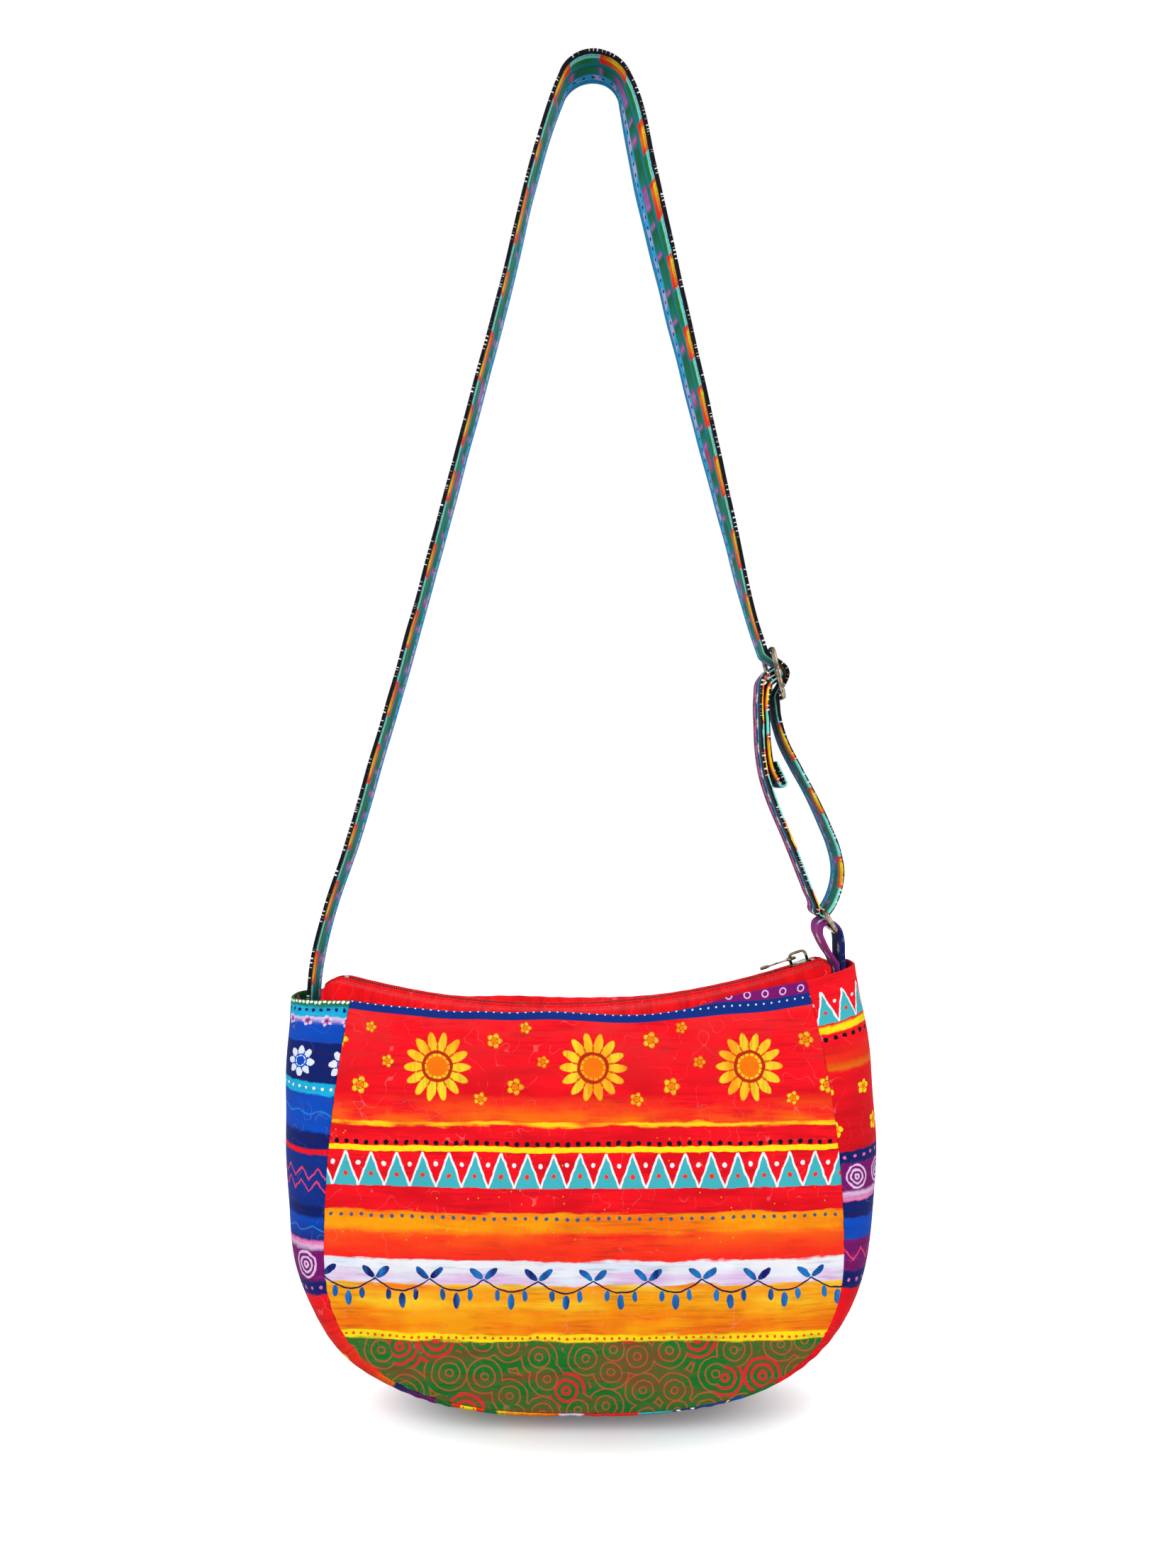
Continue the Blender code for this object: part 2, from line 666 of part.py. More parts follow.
def pull(base):
    """Pull tab: its end bar lies in the bridge's left bend, so the bend's centre is its axis."""
    eye_near = PULL_THICKNESS / 2
    eye_far = BRIDGE_BEND + BRIDGE_WIRE / 2 + 2 * CLEARANCE
    hole_half = BRIDGE_WIRE / 2 + CLEARANCE
    half_eye = PULL_EYE_WIDTH / 2
    half_tip = PULL_TIP_WIDTH / 2
    neck = eye_far + 0.0035
    outline = [
        (eye_near, -half_eye), (eye_near, half_eye), (-eye_far, half_eye),
        (-neck, PULL_NECK_WIDTH / 2), (-PULL_LENGTH * 0.7, PULL_NECK_WIDTH / 2),
        (-PULL_LENGTH * 0.8, half_tip), (-PULL_LENGTH + 0.0012, half_tip), (-PULL_LENGTH, half_tip * 0.5),
    ]
    outline += [(x, -y) for x, y in outline[:2:-1]] + [(-eye_far, -half_eye)]
    hole = [(-eye_near, -hole_half), (-eye_near, hole_half), (-eye_far, hole_half), (-eye_far, -hole_half)]
    curve = bpy.data.curves.new("zip_pull", "CURVE")
    curve.dimensions = "2D"
    curve.fill_mode = "BOTH"
    curve.extrude = PULL_THICKNESS / 2
    for loop in (outline, hole):
        spline = curve.splines.new("POLY")
        spline.points.add(len(loop) - 1)
        for target, (x, y) in zip(spline.points, loop):
            target.co = (x, y, 0.0, 1.0)
        spline.use_cyclic_u = True
    tab = new_object("zip_pull", curve, metal_material(), PARTS)
    reach = BRIDGE_SPAN / 2 - BRIDGE_BEND
    axis = Matrix.Translation((-reach, 0.0, base + BRIDGE_RISE - BRIDGE_BEND))
    tab.matrix_world = zip_frame(slider_angle()) @ axis


def strap_foot():
    """x of the strap's middle line where it is sewn inside the gusset's left end."""
    inner_depth = half_depth(0.0) - CANVAS - CLEARANCE
    inner_bulge = bulge(0.0) - CANVAS - CLEARANCE
    power = gusset_power(0.0)
    reach = inner_bulge * (1 - (STRAP_WIDTH / 2 / inner_depth) ** power) ** (1 / power)
    return LEFT_CORNER[0] - reach + STRAP_THICKNESS / 2


def tab_foot():
    """x of the tab's outer ply where it is sewn inside the gusset's right end."""
    inner_depth = half_depth(1.0) - CANVAS - CLEARANCE
    inner_bulge = bulge(1.0) - CANVAS - CLEARANCE
    power = gusset_power(1.0)
    reach = inner_bulge * (1 - (TAB_WIDTH / 2 / inner_depth) ** power) ** (1 / power)
    return RIGHT_CORNER[0] + reach * outward(1.0)[0] - STRAP_THICKNESS / 2


def tilted(origin, degrees, across, up):
    """Point in a frame that leans left by degrees: across to the right of it, up along it."""
    lean = math.radians(degrees)
    x = origin[0] + across * math.cos(lean) - up * math.sin(lean)
    z = origin[1] + across * math.sin(lean) + up * math.cos(lean)
    return (x, z)


def shifted(origin, place):
    return (origin[0] + place[0], origin[1] + place[1])


def arc_points(origin, radius, first, last, steps):
    """Points round a bar or the peg, between two angles in degrees."""
    points = []
    for step in range(steps + 1):
        turn = math.radians(first + (last - first) * step / steps)
        points.append((origin[0] + radius * math.cos(turn), origin[1] + radius * math.sin(turn)))
    return points


def bowed(first, last, bow, steps):
    """Points between two ends of a leg that bows sideways by bow in its middle, ends left out."""
    first = np.array(first)
    last = np.array(last)
    side = np.array([-(last - first)[1], (last - first)[0]])
    side /= np.linalg.norm(side)
    shares = [(step + 1) / (steps + 1) for step in range(steps)]
    return [tuple(first + (last - first) * s + side * bow * 4 * s * (1 - s)) for s in shares]


def tab_rim():
    """Height of the gusset's right end where the tab's outer ply comes out of it."""
    way = outward(1.0)
    return RIGHT_CORNER[1] + (tab_foot() - RIGHT_CORNER[0]) * way[1] / way[0]


RING_TOP = (tab_foot() + RING_FROM_TAB_FOOT[0], tab_rim() + RING_FROM_TAB_FOOT[1])
ADJUSTER = (RING_TOP[0] + ADJUSTER_FROM_RING[0], RING_TOP[1] + ADJUSTER_FROM_RING[1])


def ring_bottom():
    """Centre of the ring's lower bar."""
    lean = math.radians(RING_TILT)
    return (RING_TOP[0] + RING_BAR_PITCH * math.sin(lean), RING_TOP[1] - RING_BAR_PITCH * math.cos(lean))


def spline_through(points):
    """Smooth line through points (Catmull-Rom on chord lengths), read off at even steps."""
    points = np.asarray(points, float)
    steps = np.linalg.norm(np.diff(points, axis=0), axis=1)
    length = np.concatenate([[0.0], np.cumsum(steps)])
    at = np.linspace(0.0, length[-1], SPLINE_STEPS)
    x = np.array([smooth_through(length, points[:, 0], value) for value in at])
    z = np.array([smooth_through(length, points[:, 1], value) for value in at])
    return Route(np.column_stack([x, z]))


def strap_points():
    """Middle line of the strap from its sewn foot to the tail of its sewn end."""
    play = WIRE / 2 + CLEARANCE + STRAP_THICKNESS / 2
    rim = LEFT_CORNER[1]
    foot_x = strap_foot()
    foot = [(foot_x, rim - STRAP_FOOT_DEPTH), (foot_x, rim - STRAP_FOOT_DEPTH / 2), (foot_x, rim)]
    middle = PEG_RADIUS + STRAP_THICKNESS / 2
    peg = (0.0, -PEG_RADIUS)
    over_peg = arc_points(peg, middle, 180 - LEFT_LEG_LEAN, RIGHT_LEG_LEAN, 10)
    leg_start = (foot_x + LEG_FROM_FOOT[0], rim + LEG_FROM_FOOT[1])
    left_leg = bowed(leg_start, over_peg[0], LEFT_LEG_BOW, 5)
    lean = ADJUSTER_TILT
    pitch = ADJUSTER_BAR_PITCH
    over_bar = play + STRAP_THICKNESS + 2 * CLEARANCE
    top_bar = tilted(ADJUSTER, lean, 0.0, pitch)
    low_bar = tilted(ADJUSTER, lean, 0.0, -pitch)
    cross = math.degrees(math.asin((play + over_bar) / pitch))
    enter = tilted(ADJUSTER, lean, -play - LEG_SLACK, 2.1 * pitch)
    right_leg = bowed(over_peg[-1], enter, RIGHT_LEG_BOW, 5)
    through = [enter]
    through += arc_points(top_bar, play, lean + 176, lean + 180 + cross, 3)
    through += arc_points(ADJUSTER, over_bar, lean + cross, lean - cross, 4)
    through += arc_points(low_bar, play, lean + 180 - cross, lean + 188, 3)
    slack = [tilted(ADJUSTER, lean, *place) for place in SLACK_BELOW_ADJUSTER]
    slack += [shifted(RING_TOP, place) for place in SLACK_ABOVE_RING]
    under_ring = arc_points(RING_TOP, play, -30, -200, 6)
    taut = [shifted(RING_TOP, place) for place in TAUT_ABOVE_RING]
    taut += [tilted(ADJUSTER, lean, *place) for place in TAUT_BELOW_ADJUSTER]
    round_bar = arc_points(ADJUSTER, play, 90 + lean, -90 + lean, 6)
    tail = [tilted(ADJUSTER, lean, *place) for place in SEWN_TAIL]
    line = foot + left_leg + over_peg + right_leg + through + slack + under_ring + taut + round_bar + tail
    return spline_through(line)


def strap_shares(route):
    """Shares of the strap's length: wide steps on the straight legs, fine steps in the bends."""
    shares = [0.0]
    while shares[-1] < 1.0:
        here = shares[-1]
        bend = 0.0
        for ahead in (0.002, 0.006):
            a = route.direction(min(here, 1.0), 0.0015)
            b = route.direction(min(here + ahead, 1.0), 0.0015)
            bend = max(bend, math.acos(max(-1.0, min(1.0, float(a @ b)))))
        step = WIDE_STEP if bend < TURN_LIMIT else FINE_STEP
        shares.append(here + step / route.length)
    shares[-1] = 1.0
    return shares


def strap_twist(point):
    """Turn of the ribbon about its own line: the right leg shows a little of its inner face."""
    x, z = point
    if x < 0 or z < ADJUSTER[1]:
        return 0.0
    share = min(1.0, max(0.0, z / (ADJUSTER[1] + TWIST_END_ABOVE_ADJUSTER)))
    return math.radians(RIGHT_LEG_TWIST) * smooth_through(TWIST_STATION, TWIST_SHARE, share)


def strap():
    """One ribbon from its sewn foot over the peg, through the adjuster and round the ring."""
    route = strap_points()
    shares = strap_shares(route)
    steps = len(shares) - 1
    half = STRAP_WIDTH / 2

    def ribbon(u, v):
        share = shares[min(int(round(u * steps)), steps)]
        point = route.at(share)
        along = route.direction(share, 0.0012)
        side = np.array([-along[1], along[0]])
        across = (2 * v - 1) * half
        twist = strap_twist(point)
        shift = -side * across * math.sin(twist)
        return Vector((point[0] - shift[0], across * math.cos(twist), point[1] - shift[1]))

    sheet("strap", ribbon, steps, 1, STRAP_THICKNESS, cloth_material("strap"), 0.0)


def ring_tab():
    """Short loop of strap cloth, both ends sewn inside the gusset's right end."""
    low_bar = ring_bottom()
    outer = tab_foot()
    inner = outer - STRAP_THICKNESS - CLEARANCE
    rim = tab_rim()
    line = [(outer, rim - TAB_FOOT_DEPTH), (outer, rim - TAB_FOOT_DEPTH / 2), (outer, rim)]
    line.append((outer - TAB_LEAN[0], rim + TAB_LEAN[1]))
    line += [shifted(low_bar, place) for place in TAB_LOOP]
    line.append((inner - TAB_INNER_LEAN[0], rim + TAB_INNER_LEAN[1]))
    line += [(inner, rim - share * TAB_FOOT_DEPTH) for share in (0.28, 0.62, 1.0)]
    route = spline_through(line)
    half = TAB_WIDTH / 2

    def ribbon(u, v):
        x, z = route.at(u)
        return Vector((x, (2 * v - 1) * half, z))

    sheet("ring_tab", ribbon, 44, 1, STRAP_THICKNESS, cloth_material("ring_tab"), 0.0)


def hang_place(centre, degrees):
    """World matrix of a wire frame: its long way up, leaning left by degrees."""
    return Matrix.Translation((centre[0], 0.0, centre[1])) @ Matrix.Rotation(-math.radians(degrees), 4, "Y")


def hardware():
    """The ring and the adjuster, both bent from the same round wire."""
    half_wide = STRAP_WIDTH / 2 + WIRE_PLAY + WIRE / 2
    low_bar = ring_bottom()
    middle = ((RING_TOP[0] + low_bar[0]) / 2, (RING_TOP[1] + low_bar[1]) / 2)
    ring = wire("ring", frame_points(RING_BAR_PITCH / 2, half_wide, FRAME_CORNER), WIRE / 2, True, PARTS)
    ring.matrix_world = hang_place(middle, RING_TILT)
    frame = frame_points(ADJUSTER_BAR_PITCH, half_wide, FRAME_CORNER)
    adjuster = wire("adjuster", frame, WIRE / 2, True, PARTS)
    bar = wire("adjuster_bar", [(0.0, -half_wide, 0.0), (0.0, half_wide, 0.0)], MIDDLE_BAR_RADIUS, False, GUIDES)
    place = hang_place(ADJUSTER, ADJUSTER_TILT)
    adjuster.matrix_world = place
    bar.matrix_world = place
    join_to(adjuster, [bar])


for old in list(bpy.data.objects):
    bpy.data.objects.remove(old, do_unlink=True)
PARTS = bpy.data.collections.new("crossbody_bag")
GUIDES = bpy.data.collections.new("guides")
bpy.context.scene.collection.children.link(PARTS)
bpy.context.scene.collection.children.link(GUIDES)

panels()
gusset()
lining()
zip_cloth()
stops()
pull(slider())
strap()
ring_tab()
hardware()
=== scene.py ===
"""A crossbody bag of printed canvas that hangs by its strap: cloth, zip, strap and metal parts."""

import inspect
import math

import bmesh
import bpy
import numpy as np
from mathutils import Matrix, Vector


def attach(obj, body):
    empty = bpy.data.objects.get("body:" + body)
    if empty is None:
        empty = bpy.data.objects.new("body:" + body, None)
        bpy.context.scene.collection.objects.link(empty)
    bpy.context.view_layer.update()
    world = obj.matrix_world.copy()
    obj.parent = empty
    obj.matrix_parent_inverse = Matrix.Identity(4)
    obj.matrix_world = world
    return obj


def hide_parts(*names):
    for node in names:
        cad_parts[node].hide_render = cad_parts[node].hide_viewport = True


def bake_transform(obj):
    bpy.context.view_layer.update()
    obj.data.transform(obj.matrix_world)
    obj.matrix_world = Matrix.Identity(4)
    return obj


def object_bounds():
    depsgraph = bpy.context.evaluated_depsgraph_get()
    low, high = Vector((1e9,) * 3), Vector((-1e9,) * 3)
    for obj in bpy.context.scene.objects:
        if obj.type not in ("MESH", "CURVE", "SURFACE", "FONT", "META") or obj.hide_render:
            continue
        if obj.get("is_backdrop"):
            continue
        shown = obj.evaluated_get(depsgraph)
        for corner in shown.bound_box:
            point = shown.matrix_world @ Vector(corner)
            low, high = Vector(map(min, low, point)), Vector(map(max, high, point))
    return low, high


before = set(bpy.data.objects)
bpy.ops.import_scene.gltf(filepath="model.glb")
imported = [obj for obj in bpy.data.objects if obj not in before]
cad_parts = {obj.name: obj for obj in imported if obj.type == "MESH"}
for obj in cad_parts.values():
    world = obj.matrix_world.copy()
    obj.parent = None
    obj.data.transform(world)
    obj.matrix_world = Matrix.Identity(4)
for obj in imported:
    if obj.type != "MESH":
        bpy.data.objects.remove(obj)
cad_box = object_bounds()


# The room: a plain pale floor just under the bag, a soft white surround and three wide soft lamps. Seen by
# the camera, the floor glows less near the bag, which paints a shadow round its foot.
# The camera stands level in front of the strap, where the photograph was taken from.

BAG_HEART = (0.0, 0.0, -0.60)
FLOOR_DROP = 0.0015
FLOOR_HALF = 6.0
# Distances from the bag and glow strengths of the floor: the weak glow near the bag is a painted shadow.
FLOOR_FADE = (0.035, 0.105, 0.10, 0.75)

room = bpy.context.scene
room.view_settings.view_transform = "Standard"
lens = bpy.data.cameras.new("camera")
lens.sensor_fit = "VERTICAL"
lens.sensor_height = 36.0
lens.lens = 28.27
lens.clip_start = 0.01
camera = bpy.data.objects.new("camera", lens)
camera.location = (-0.003, -0.740, -0.430)
camera.rotation_euler = (math.pi / 2, 0.0, 0.0)
room.collection.objects.link(camera)
room.camera = camera

for name, place, size, power in (
    ("lamp_above_left", (-1.1, -1.5, 0.75), 1.5, 27.0),
    ("lamp_right", (1.5, -1.2, 0.15), 1.4, 13.0),
    ("lamp_behind", (0.3, 1.6, 0.9), 1.6, 13.0),
):
    panel_light = bpy.data.lights.new(name, "AREA")
    panel_light.shape = "SQUARE"
    panel_light.size = size
    panel_light.energy = power
    lamp = bpy.data.objects.new(name, panel_light)
    way = np.subtract(BAG_HEART, place)
    lamp.location = place
    lamp.rotation_euler = (math.atan2(math.hypot(way[0], way[1]), -way[2]), 0.0, math.atan2(-way[0], way[1]))
    room.collection.objects.link(lamp)


class Term:
    """An output of a shader node. Plain arithmetic on it adds Math nodes to its tree."""

    def __init__(self, socket):
        self.socket = socket
        self.tree = socket.id_data

    def also(self, output):
        """Another output of the same node."""
        return Term(self.socket.node.outputs[output])

    def math(self, operation, *others):
        return wired(self.tree, "Math", (self, *others), operation=operation)

    def __add__(self, other):
        return self.math("ADD", other)

    def __sub__(self, other):
        return self.math("SUBTRACT", other)

    def __rsub__(self, other):
        return self.math("MULTIPLY_ADD", -1.0, other)

    def __mul__(self, other):
        return self.math("MULTIPLY", other)

    def __truediv__(self, other):
        return self.math("DIVIDE", other)

    __rmul__ = __mul__

    def wave(self, step):
        """Sine of a length, one wave to a step."""
        return (self / step * (2 * math.pi)).math("SINE")

    def size(self):
        return self.math("ABSOLUTE")

    def share(self):
        """What is over its last whole number, from 0 to 1."""
        return self.math("FRACT")

    def inside_cell(self, pitch):
        """Distance from the middle of the cell it falls in, with cells one pitch long."""
        return ((self / pitch).share() - 0.5) * pitch

    def below(self, limit, soft=0.0002):
        """1 where it is under the limit and 0 over it, with a smooth step between."""
        ends = (self, limit + soft, limit - soft)
        return wired(self.tree, "MapRange", ends, interpolation_type="SMOOTHSTEP")


def feed(target, value):
    """Links a Term to an input, or sets the input to a number, a vector or a colour."""
    if isinstance(value, Term):
        target.id_data.links.new(value.socket, target)
    elif isinstance(value, tuple) and target.type == "RGBA":
        target.default_value = (*value, 1.0)
    else:
        target.default_value = value


def wired(tree, kind, inputs=(), output=0, **settings):
    """New shader node with its settings made and its inputs fed, in order or by name; returns one
    of its outputs."""
    node = tree.nodes.new("ShaderNode" + kind)
    for name, value in settings.items():
        setattr(node, name, value)
    for name, value in inputs.items() if isinstance(inputs, dict) else enumerate(inputs):
        feed(node.inputs[name], value)
    return Term(node.outputs[output]) if node.outputs else None


def white_when_seen(tree, lit, seen):
    """Shader that gives lit to soft light and seen to the camera and to mirror-like rays."""
    ray = wired(tree, "LightPath", output="Is Camera Ray")
    for other in ("Is Glossy Ray", "Is Transmission Ray"):
        ray = ray.math("MAXIMUM", wired(tree, "LightPath", output=other))
    return wired(tree, "MixShader", (ray, lit, seen))


surround = bpy.data.worlds.new("surround")
surround.use_nodes = True
walls = surround.node_tree
walls.nodes.clear()
soft_light = wired(walls, "Background", {"Color": (1.0, 1.0, 1.0), "Strength": 0.62})
white_wall = wired(walls, "Background", {"Color": (1.0, 1.0, 1.0), "Strength": 1.0})
wired(walls, "OutputWorld", {"Surface": white_when_seen(walls, soft_light, white_wall)})
room.world = surround

floor_paint = bpy.data.materials.new("floor_paint")
floor_paint.use_nodes = True
boards = floor_paint.node_tree
boards.nodes.clear()
floor_matt = wired(boards, "BsdfDiffuse", {"Color": (0.82, 0.86, 0.87)})
floor_dim = wired(boards, "BsdfDiffuse", {"Color": (0.42, 0.42, 0.42)})
# The floor's glow for the camera grows with the distance from the bag, so the floor is darker round the bag's
# foot: a painted shadow.
floor_place = wired(boards, "TexCoord", output="Object")
floor_level = wired(boards, "Mapping", {"Vector": floor_place, "Scale": (0.55, 1.0, 0.0)})
floor_away = wired(boards, "VectorMath", (floor_level,), "Value", operation="LENGTH")
floor_white = wired(boards, "MapRange", (floor_away, *FLOOR_FADE), interpolation_type="SMOOTHSTEP")
floor_bright = wired(boards, "AddShader", (floor_matt, wired(boards, "Emission", {"Strength": floor_white})))
wired(boards, "OutputMaterial", {"Surface": white_when_seen(boards, floor_dim, floor_bright)})

floor_z = cad_box[0][2] - FLOOR_DROP
floor_mesh = bpy.data.meshes.new("floor")
floor_corners = [(x * FLOOR_HALF, y * FLOOR_HALF, floor_z) for x, y in ((-1, -1), (1, -1), (1, 1), (-1, 1))]
floor_mesh.from_pydata(floor_corners, [], [(0, 1, 2, 3)])
floor_mesh.materials.append(floor_paint)
floor = bpy.data.objects.new("floor", floor_mesh)
room.collection.objects.link(floor)
floor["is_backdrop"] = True


# The front and the back of the bag: two equal U-shaped panels of printed cotton canvas. Each is
# hemmed along its top edge and sewn, right sides together, to the gusset all round its curve, so
# that the seam is a narrow groove. The cloth is soft and has shallow waves.

BAG_X = -0.0054
BOWL_TOP_Z = -0.690
HALF_WIDTH = 0.1492
BOWL_DEPTH = 0.097
BOWL_POWER = 2.7
SIDE_STEPS = 60
BOWL_STEPS = 241
SEAM_TANGENT_STEP = 0.002
SIDE_HEIGHT = {"left": 0.133, "right": 0.1445}
SIDE_TAPER = {"left": 0.0131, "right": 0.0196}
DRAWN_SEAM_GAP = 0.00001
PANEL_BULGE = 0.0171
PANEL_TOP_FLATNESS = 0.72
TOP_EDGE_SHARE = [0.0, 0.16, 0.45, 0.70, 0.88, 1.0]
TOP_EDGE_HEIGHT = [0.0, -0.0045, -0.0058, -0.0060, 0.0060, 0.0115]
GUSSET_STATION = [0.0, 0.20, 0.34, 0.50, 0.66, 0.80, 1.0]
GUSSET_HALF_DEPTH = [0.023, 0.034, 0.041, 0.042, 0.041, 0.034, 0.023]
GUSSET_FLAT_END = 0.12
LOWER_LEFT = 0.30
LOWER_RIGHT = 0.70
CANVAS_PLY = 0.0007
SEAM_ROLL = 0.0012
SEAM_ROUND = 0.70
BACK_RIM_SAG_SHARE = [0.0, 0.12, 0.45, 0.65, 0.85, 1.0]
BACK_RIM_SAG = [0.0, 0.0008, 0.0032, 0.0026, 0.0036, 0.0]
HEM_RADIUS = 0.0008
HEM_DEPTH = 0.013
HEM_SEAM_DEPTH = 0.011
HEM_SEAM_SPREAD = 0.003
HEM_TUG = 0.00022
HEM_TUG_STEP = 0.0062
HEM_TURN_STEPS = 5
HEM_PLY_ROWS = 4
PANEL_COLUMNS = 190
RIM_ROW = 129
PANEL_SWELL = 0.0009
PANEL_SWELL_LENGTH = 0.075
PANEL_RIPPLE = 0.00035
PANEL_RIPPLE_LENGTH = 0.028
PANEL_RIPPLE_SQUEEZE = 1.6
PANEL_SWELL_REACH = 0.012
SEAM_PUCKER = 0.00042
SEAM_PUCKER_STEP = 0.0105
SEAM_PUCKER_REACH = 0.007
SEAM_PUCKER_PATCH = 0.05
RIM_DRAG = 0.0011
RIM_DRAG_STEP = 0.047
RIM_DRAG_REACH = 0.05
RIM_DRAG_WANDER = 3
RIM_DRAG_WANDER_LENGTH = 0.12


def smooth_through(stations, values, at):
    """Cubic through (station, value) pairs, with each slope taken from the two neighbours."""
    stations = np.asarray(stations, float)
    values = np.asarray(values, float)
    slopes = np.gradient(values, stations)
    k = np.clip(np.searchsorted(stations, at, side="right") - 1, 0, len(stations) - 2)
    width = stations[k + 1] - stations[k]
    s = np.clip((at - stations[k]) / width, 0.0, 1.0)
    level = (1 + 2 * s) * (1 - s) ** 2 * values[k] + s * s * (3 - 2 * s) * values[k + 1]
    return level + width * s * (1 - s) * ((1 - s) * slopes[k] - s * slopes[k + 1])


def signed_power(value, power):
    """Power of a cosine or sine that keeps its sign."""
    return np.sign(value) * np.abs(value) ** power


def unit(vectors):
    """Each vector divided by its length."""
    return vectors / np.linalg.norm(vectors, axis=-1, keepdims=True)


def travelled(points):
    """Distance along a line of points, from 0 at its start."""
    return np.concatenate([[0.0], np.cumsum(np.linalg.norm(np.diff(points, axis=0), axis=1))])


def stacked(*parts):
    """Points from their coordinates, which are spread to one shape."""
    return np.stack(np.broadcast_arrays(*parts), -1)


def grid(along, across):
    """Both values at each point of a grid, rows along and columns across."""
    return np.meshgrid(along, across, indexing="ij")


side_rise = np.linspace(1.0, 0.0, SIDE_STEPS)
bowl_turn = np.linspace(math.pi, 2 * math.pi, BOWL_STEPS)
left_side, right_side = [
    stacked(
        BAG_X + way * (HALF_WIDTH - SIDE_TAPER[hand] * side_rise**2),
        BOWL_TOP_Z + SIDE_HEIGHT[hand] * side_rise,
    )
    for hand, way in (("left", -1), ("right", 1))
]
bowl = stacked(
    BAG_X + HALF_WIDTH * signed_power(np.cos(bowl_turn), 2 / BOWL_POWER),
    BOWL_TOP_Z + BOWL_DEPTH * signed_power(np.sin(bowl_turn), 2 / BOWL_POWER),
)
seam_line = np.concatenate([left_side[:-1], bowl, right_side[::-1][1:]])
seam_length = travelled(seam_line)[-1]
seam_share = travelled(seam_line) / seam_length


def between(share, shares, values):
    """Points or directions x, z read off between rows of them at a share."""
    return np.stack([np.interp(share, shares, values[:, k]) for k in (0, 1)], -1)


def seam_at(share):
    """Point x, z of the seam at a share of its length, from the top left to the top right."""
    return between(share, seam_share, seam_line)


def outward(share):
    """Unit vector out of the bag at the seam; the left end is eased to the horizontal."""
    after = seam_at(np.minimum(share + SEAM_TANGENT_STEP, 1.0))
    along = unit(after - seam_at(np.maximum(share - SEAM_TANGENT_STEP, 0.0)))
    ease = np.clip(1.0 - share / GUSSET_FLAT_END, 0.0, 1.0)[..., None]
    return unit(stacked(along[..., 1], -along[..., 0]) * (1 - ease) + np.array([-1.0, 0.0]) * ease)


left_corner = seam_at(np.array(0.0))
right_corner = seam_at(np.array(1.0))


def half_depth(share):
    return smooth_through(GUSSET_STATION, GUSSET_HALF_DEPTH, share)


def top_edge(width_share):
    """Height of a panel's top edge, from its left corner to its right corner."""
    miss = right_corner[1] - left_corner[1] - TOP_EDGE_HEIGHT[-1]
    return left_corner[1] + smooth_through(TOP_EDGE_SHARE, TOP_EDGE_HEIGHT, width_share) + miss * width_share


def seam_dip(from_seam):
    """Fall of the cloth into the seam's groove: an arc of a circle as deep as it is wide."""
    rolled = np.clip(1 - from_seam / SEAM_ROLL, 0.0, 1.0) * SEAM_ROUND
    return SEAM_ROLL * (1 - np.sqrt(1 - rolled**2))


def back_rim_sag(width_share):
    """The back panel's rim hangs a few millimetres lower than the front's."""
    return smooth_through(BACK_RIM_SAG_SHARE, BACK_RIM_SAG, width_share)


def panel_edge(share):
    """Point x, depth, z of a panel's edge at the seam."""
    place = seam_at(share) - outward(share) * (DRAWN_SEAM_GAP / 2)
    return stacked(place[..., 0], half_depth(share), place[..., 1])


def panel_points(u, v):
    """Patch between a panel's four edges (sum of the two ruled surfaces less the corners' bilinear
    one), pushed out in the middle. u runs across and v up; the depth is counted outwards."""
    share = u[..., None]
    rise = v[..., None]
    bottom = panel_edge(LOWER_LEFT + (LOWER_RIGHT - LOWER_LEFT) * u)
    left = panel_edge(LOWER_LEFT * (1 - v))
    right = panel_edge(LOWER_RIGHT + (1 - LOWER_RIGHT) * v)
    upper, lower = [
        panel_edge(np.array(first)) * (1 - share) + panel_edge(np.array(last)) * share
        for first, last in ((0.0, 1.0), (LOWER_LEFT, LOWER_RIGHT))
    ]
    top = upper.copy()
    top[..., 2] = top_edge(u)
    points = (1 - rise) * (bottom - lower) + rise * (top - upper) + (1 - share) * left + share * right
    points[..., 1] += PANEL_BULGE * 4 * u * (1 - u) * (1 - (1 - v) ** 3) * (1 - PANEL_TOP_FLATNESS * v)
    return points


def crowded(steps, ends=0.75):
    """Shares from 0 to 1 that lie closer together at both ends."""
    t = np.linspace(0.0, 1.0, steps)
    return t - ends * np.sin(2 * math.pi * t) / (2 * math.pi)


def cloth_waves(x, z, size, seed):
    """Sum of nine sine waves in seeded directions, with wavelengths about size; about -1 to 1."""
    random = np.random.default_rng(seed)
    total = 0.0
    for turn, stretch, phase in random.uniform(0.0, 1.0, (9, 3)):
        step = 2 * math.pi / (size * (0.7 + 0.8 * stretch))
        angle = math.pi * turn
        total = total + np.sin(step * (x * math.cos(angle) + z * math.sin(angle)) + 2 * math.pi * phase)
    return total / 4.5


def rippled(length, step):
    """Sine along a length, one wave to a step."""
    return np.sin(length * 2 * math.pi / step)


def bump_at(value, middle, spread):
    """Bell curve: 1 at the middle, and the inverse of e at one spread from it."""
    return np.exp(-(((value - middle) / spread) ** 2))


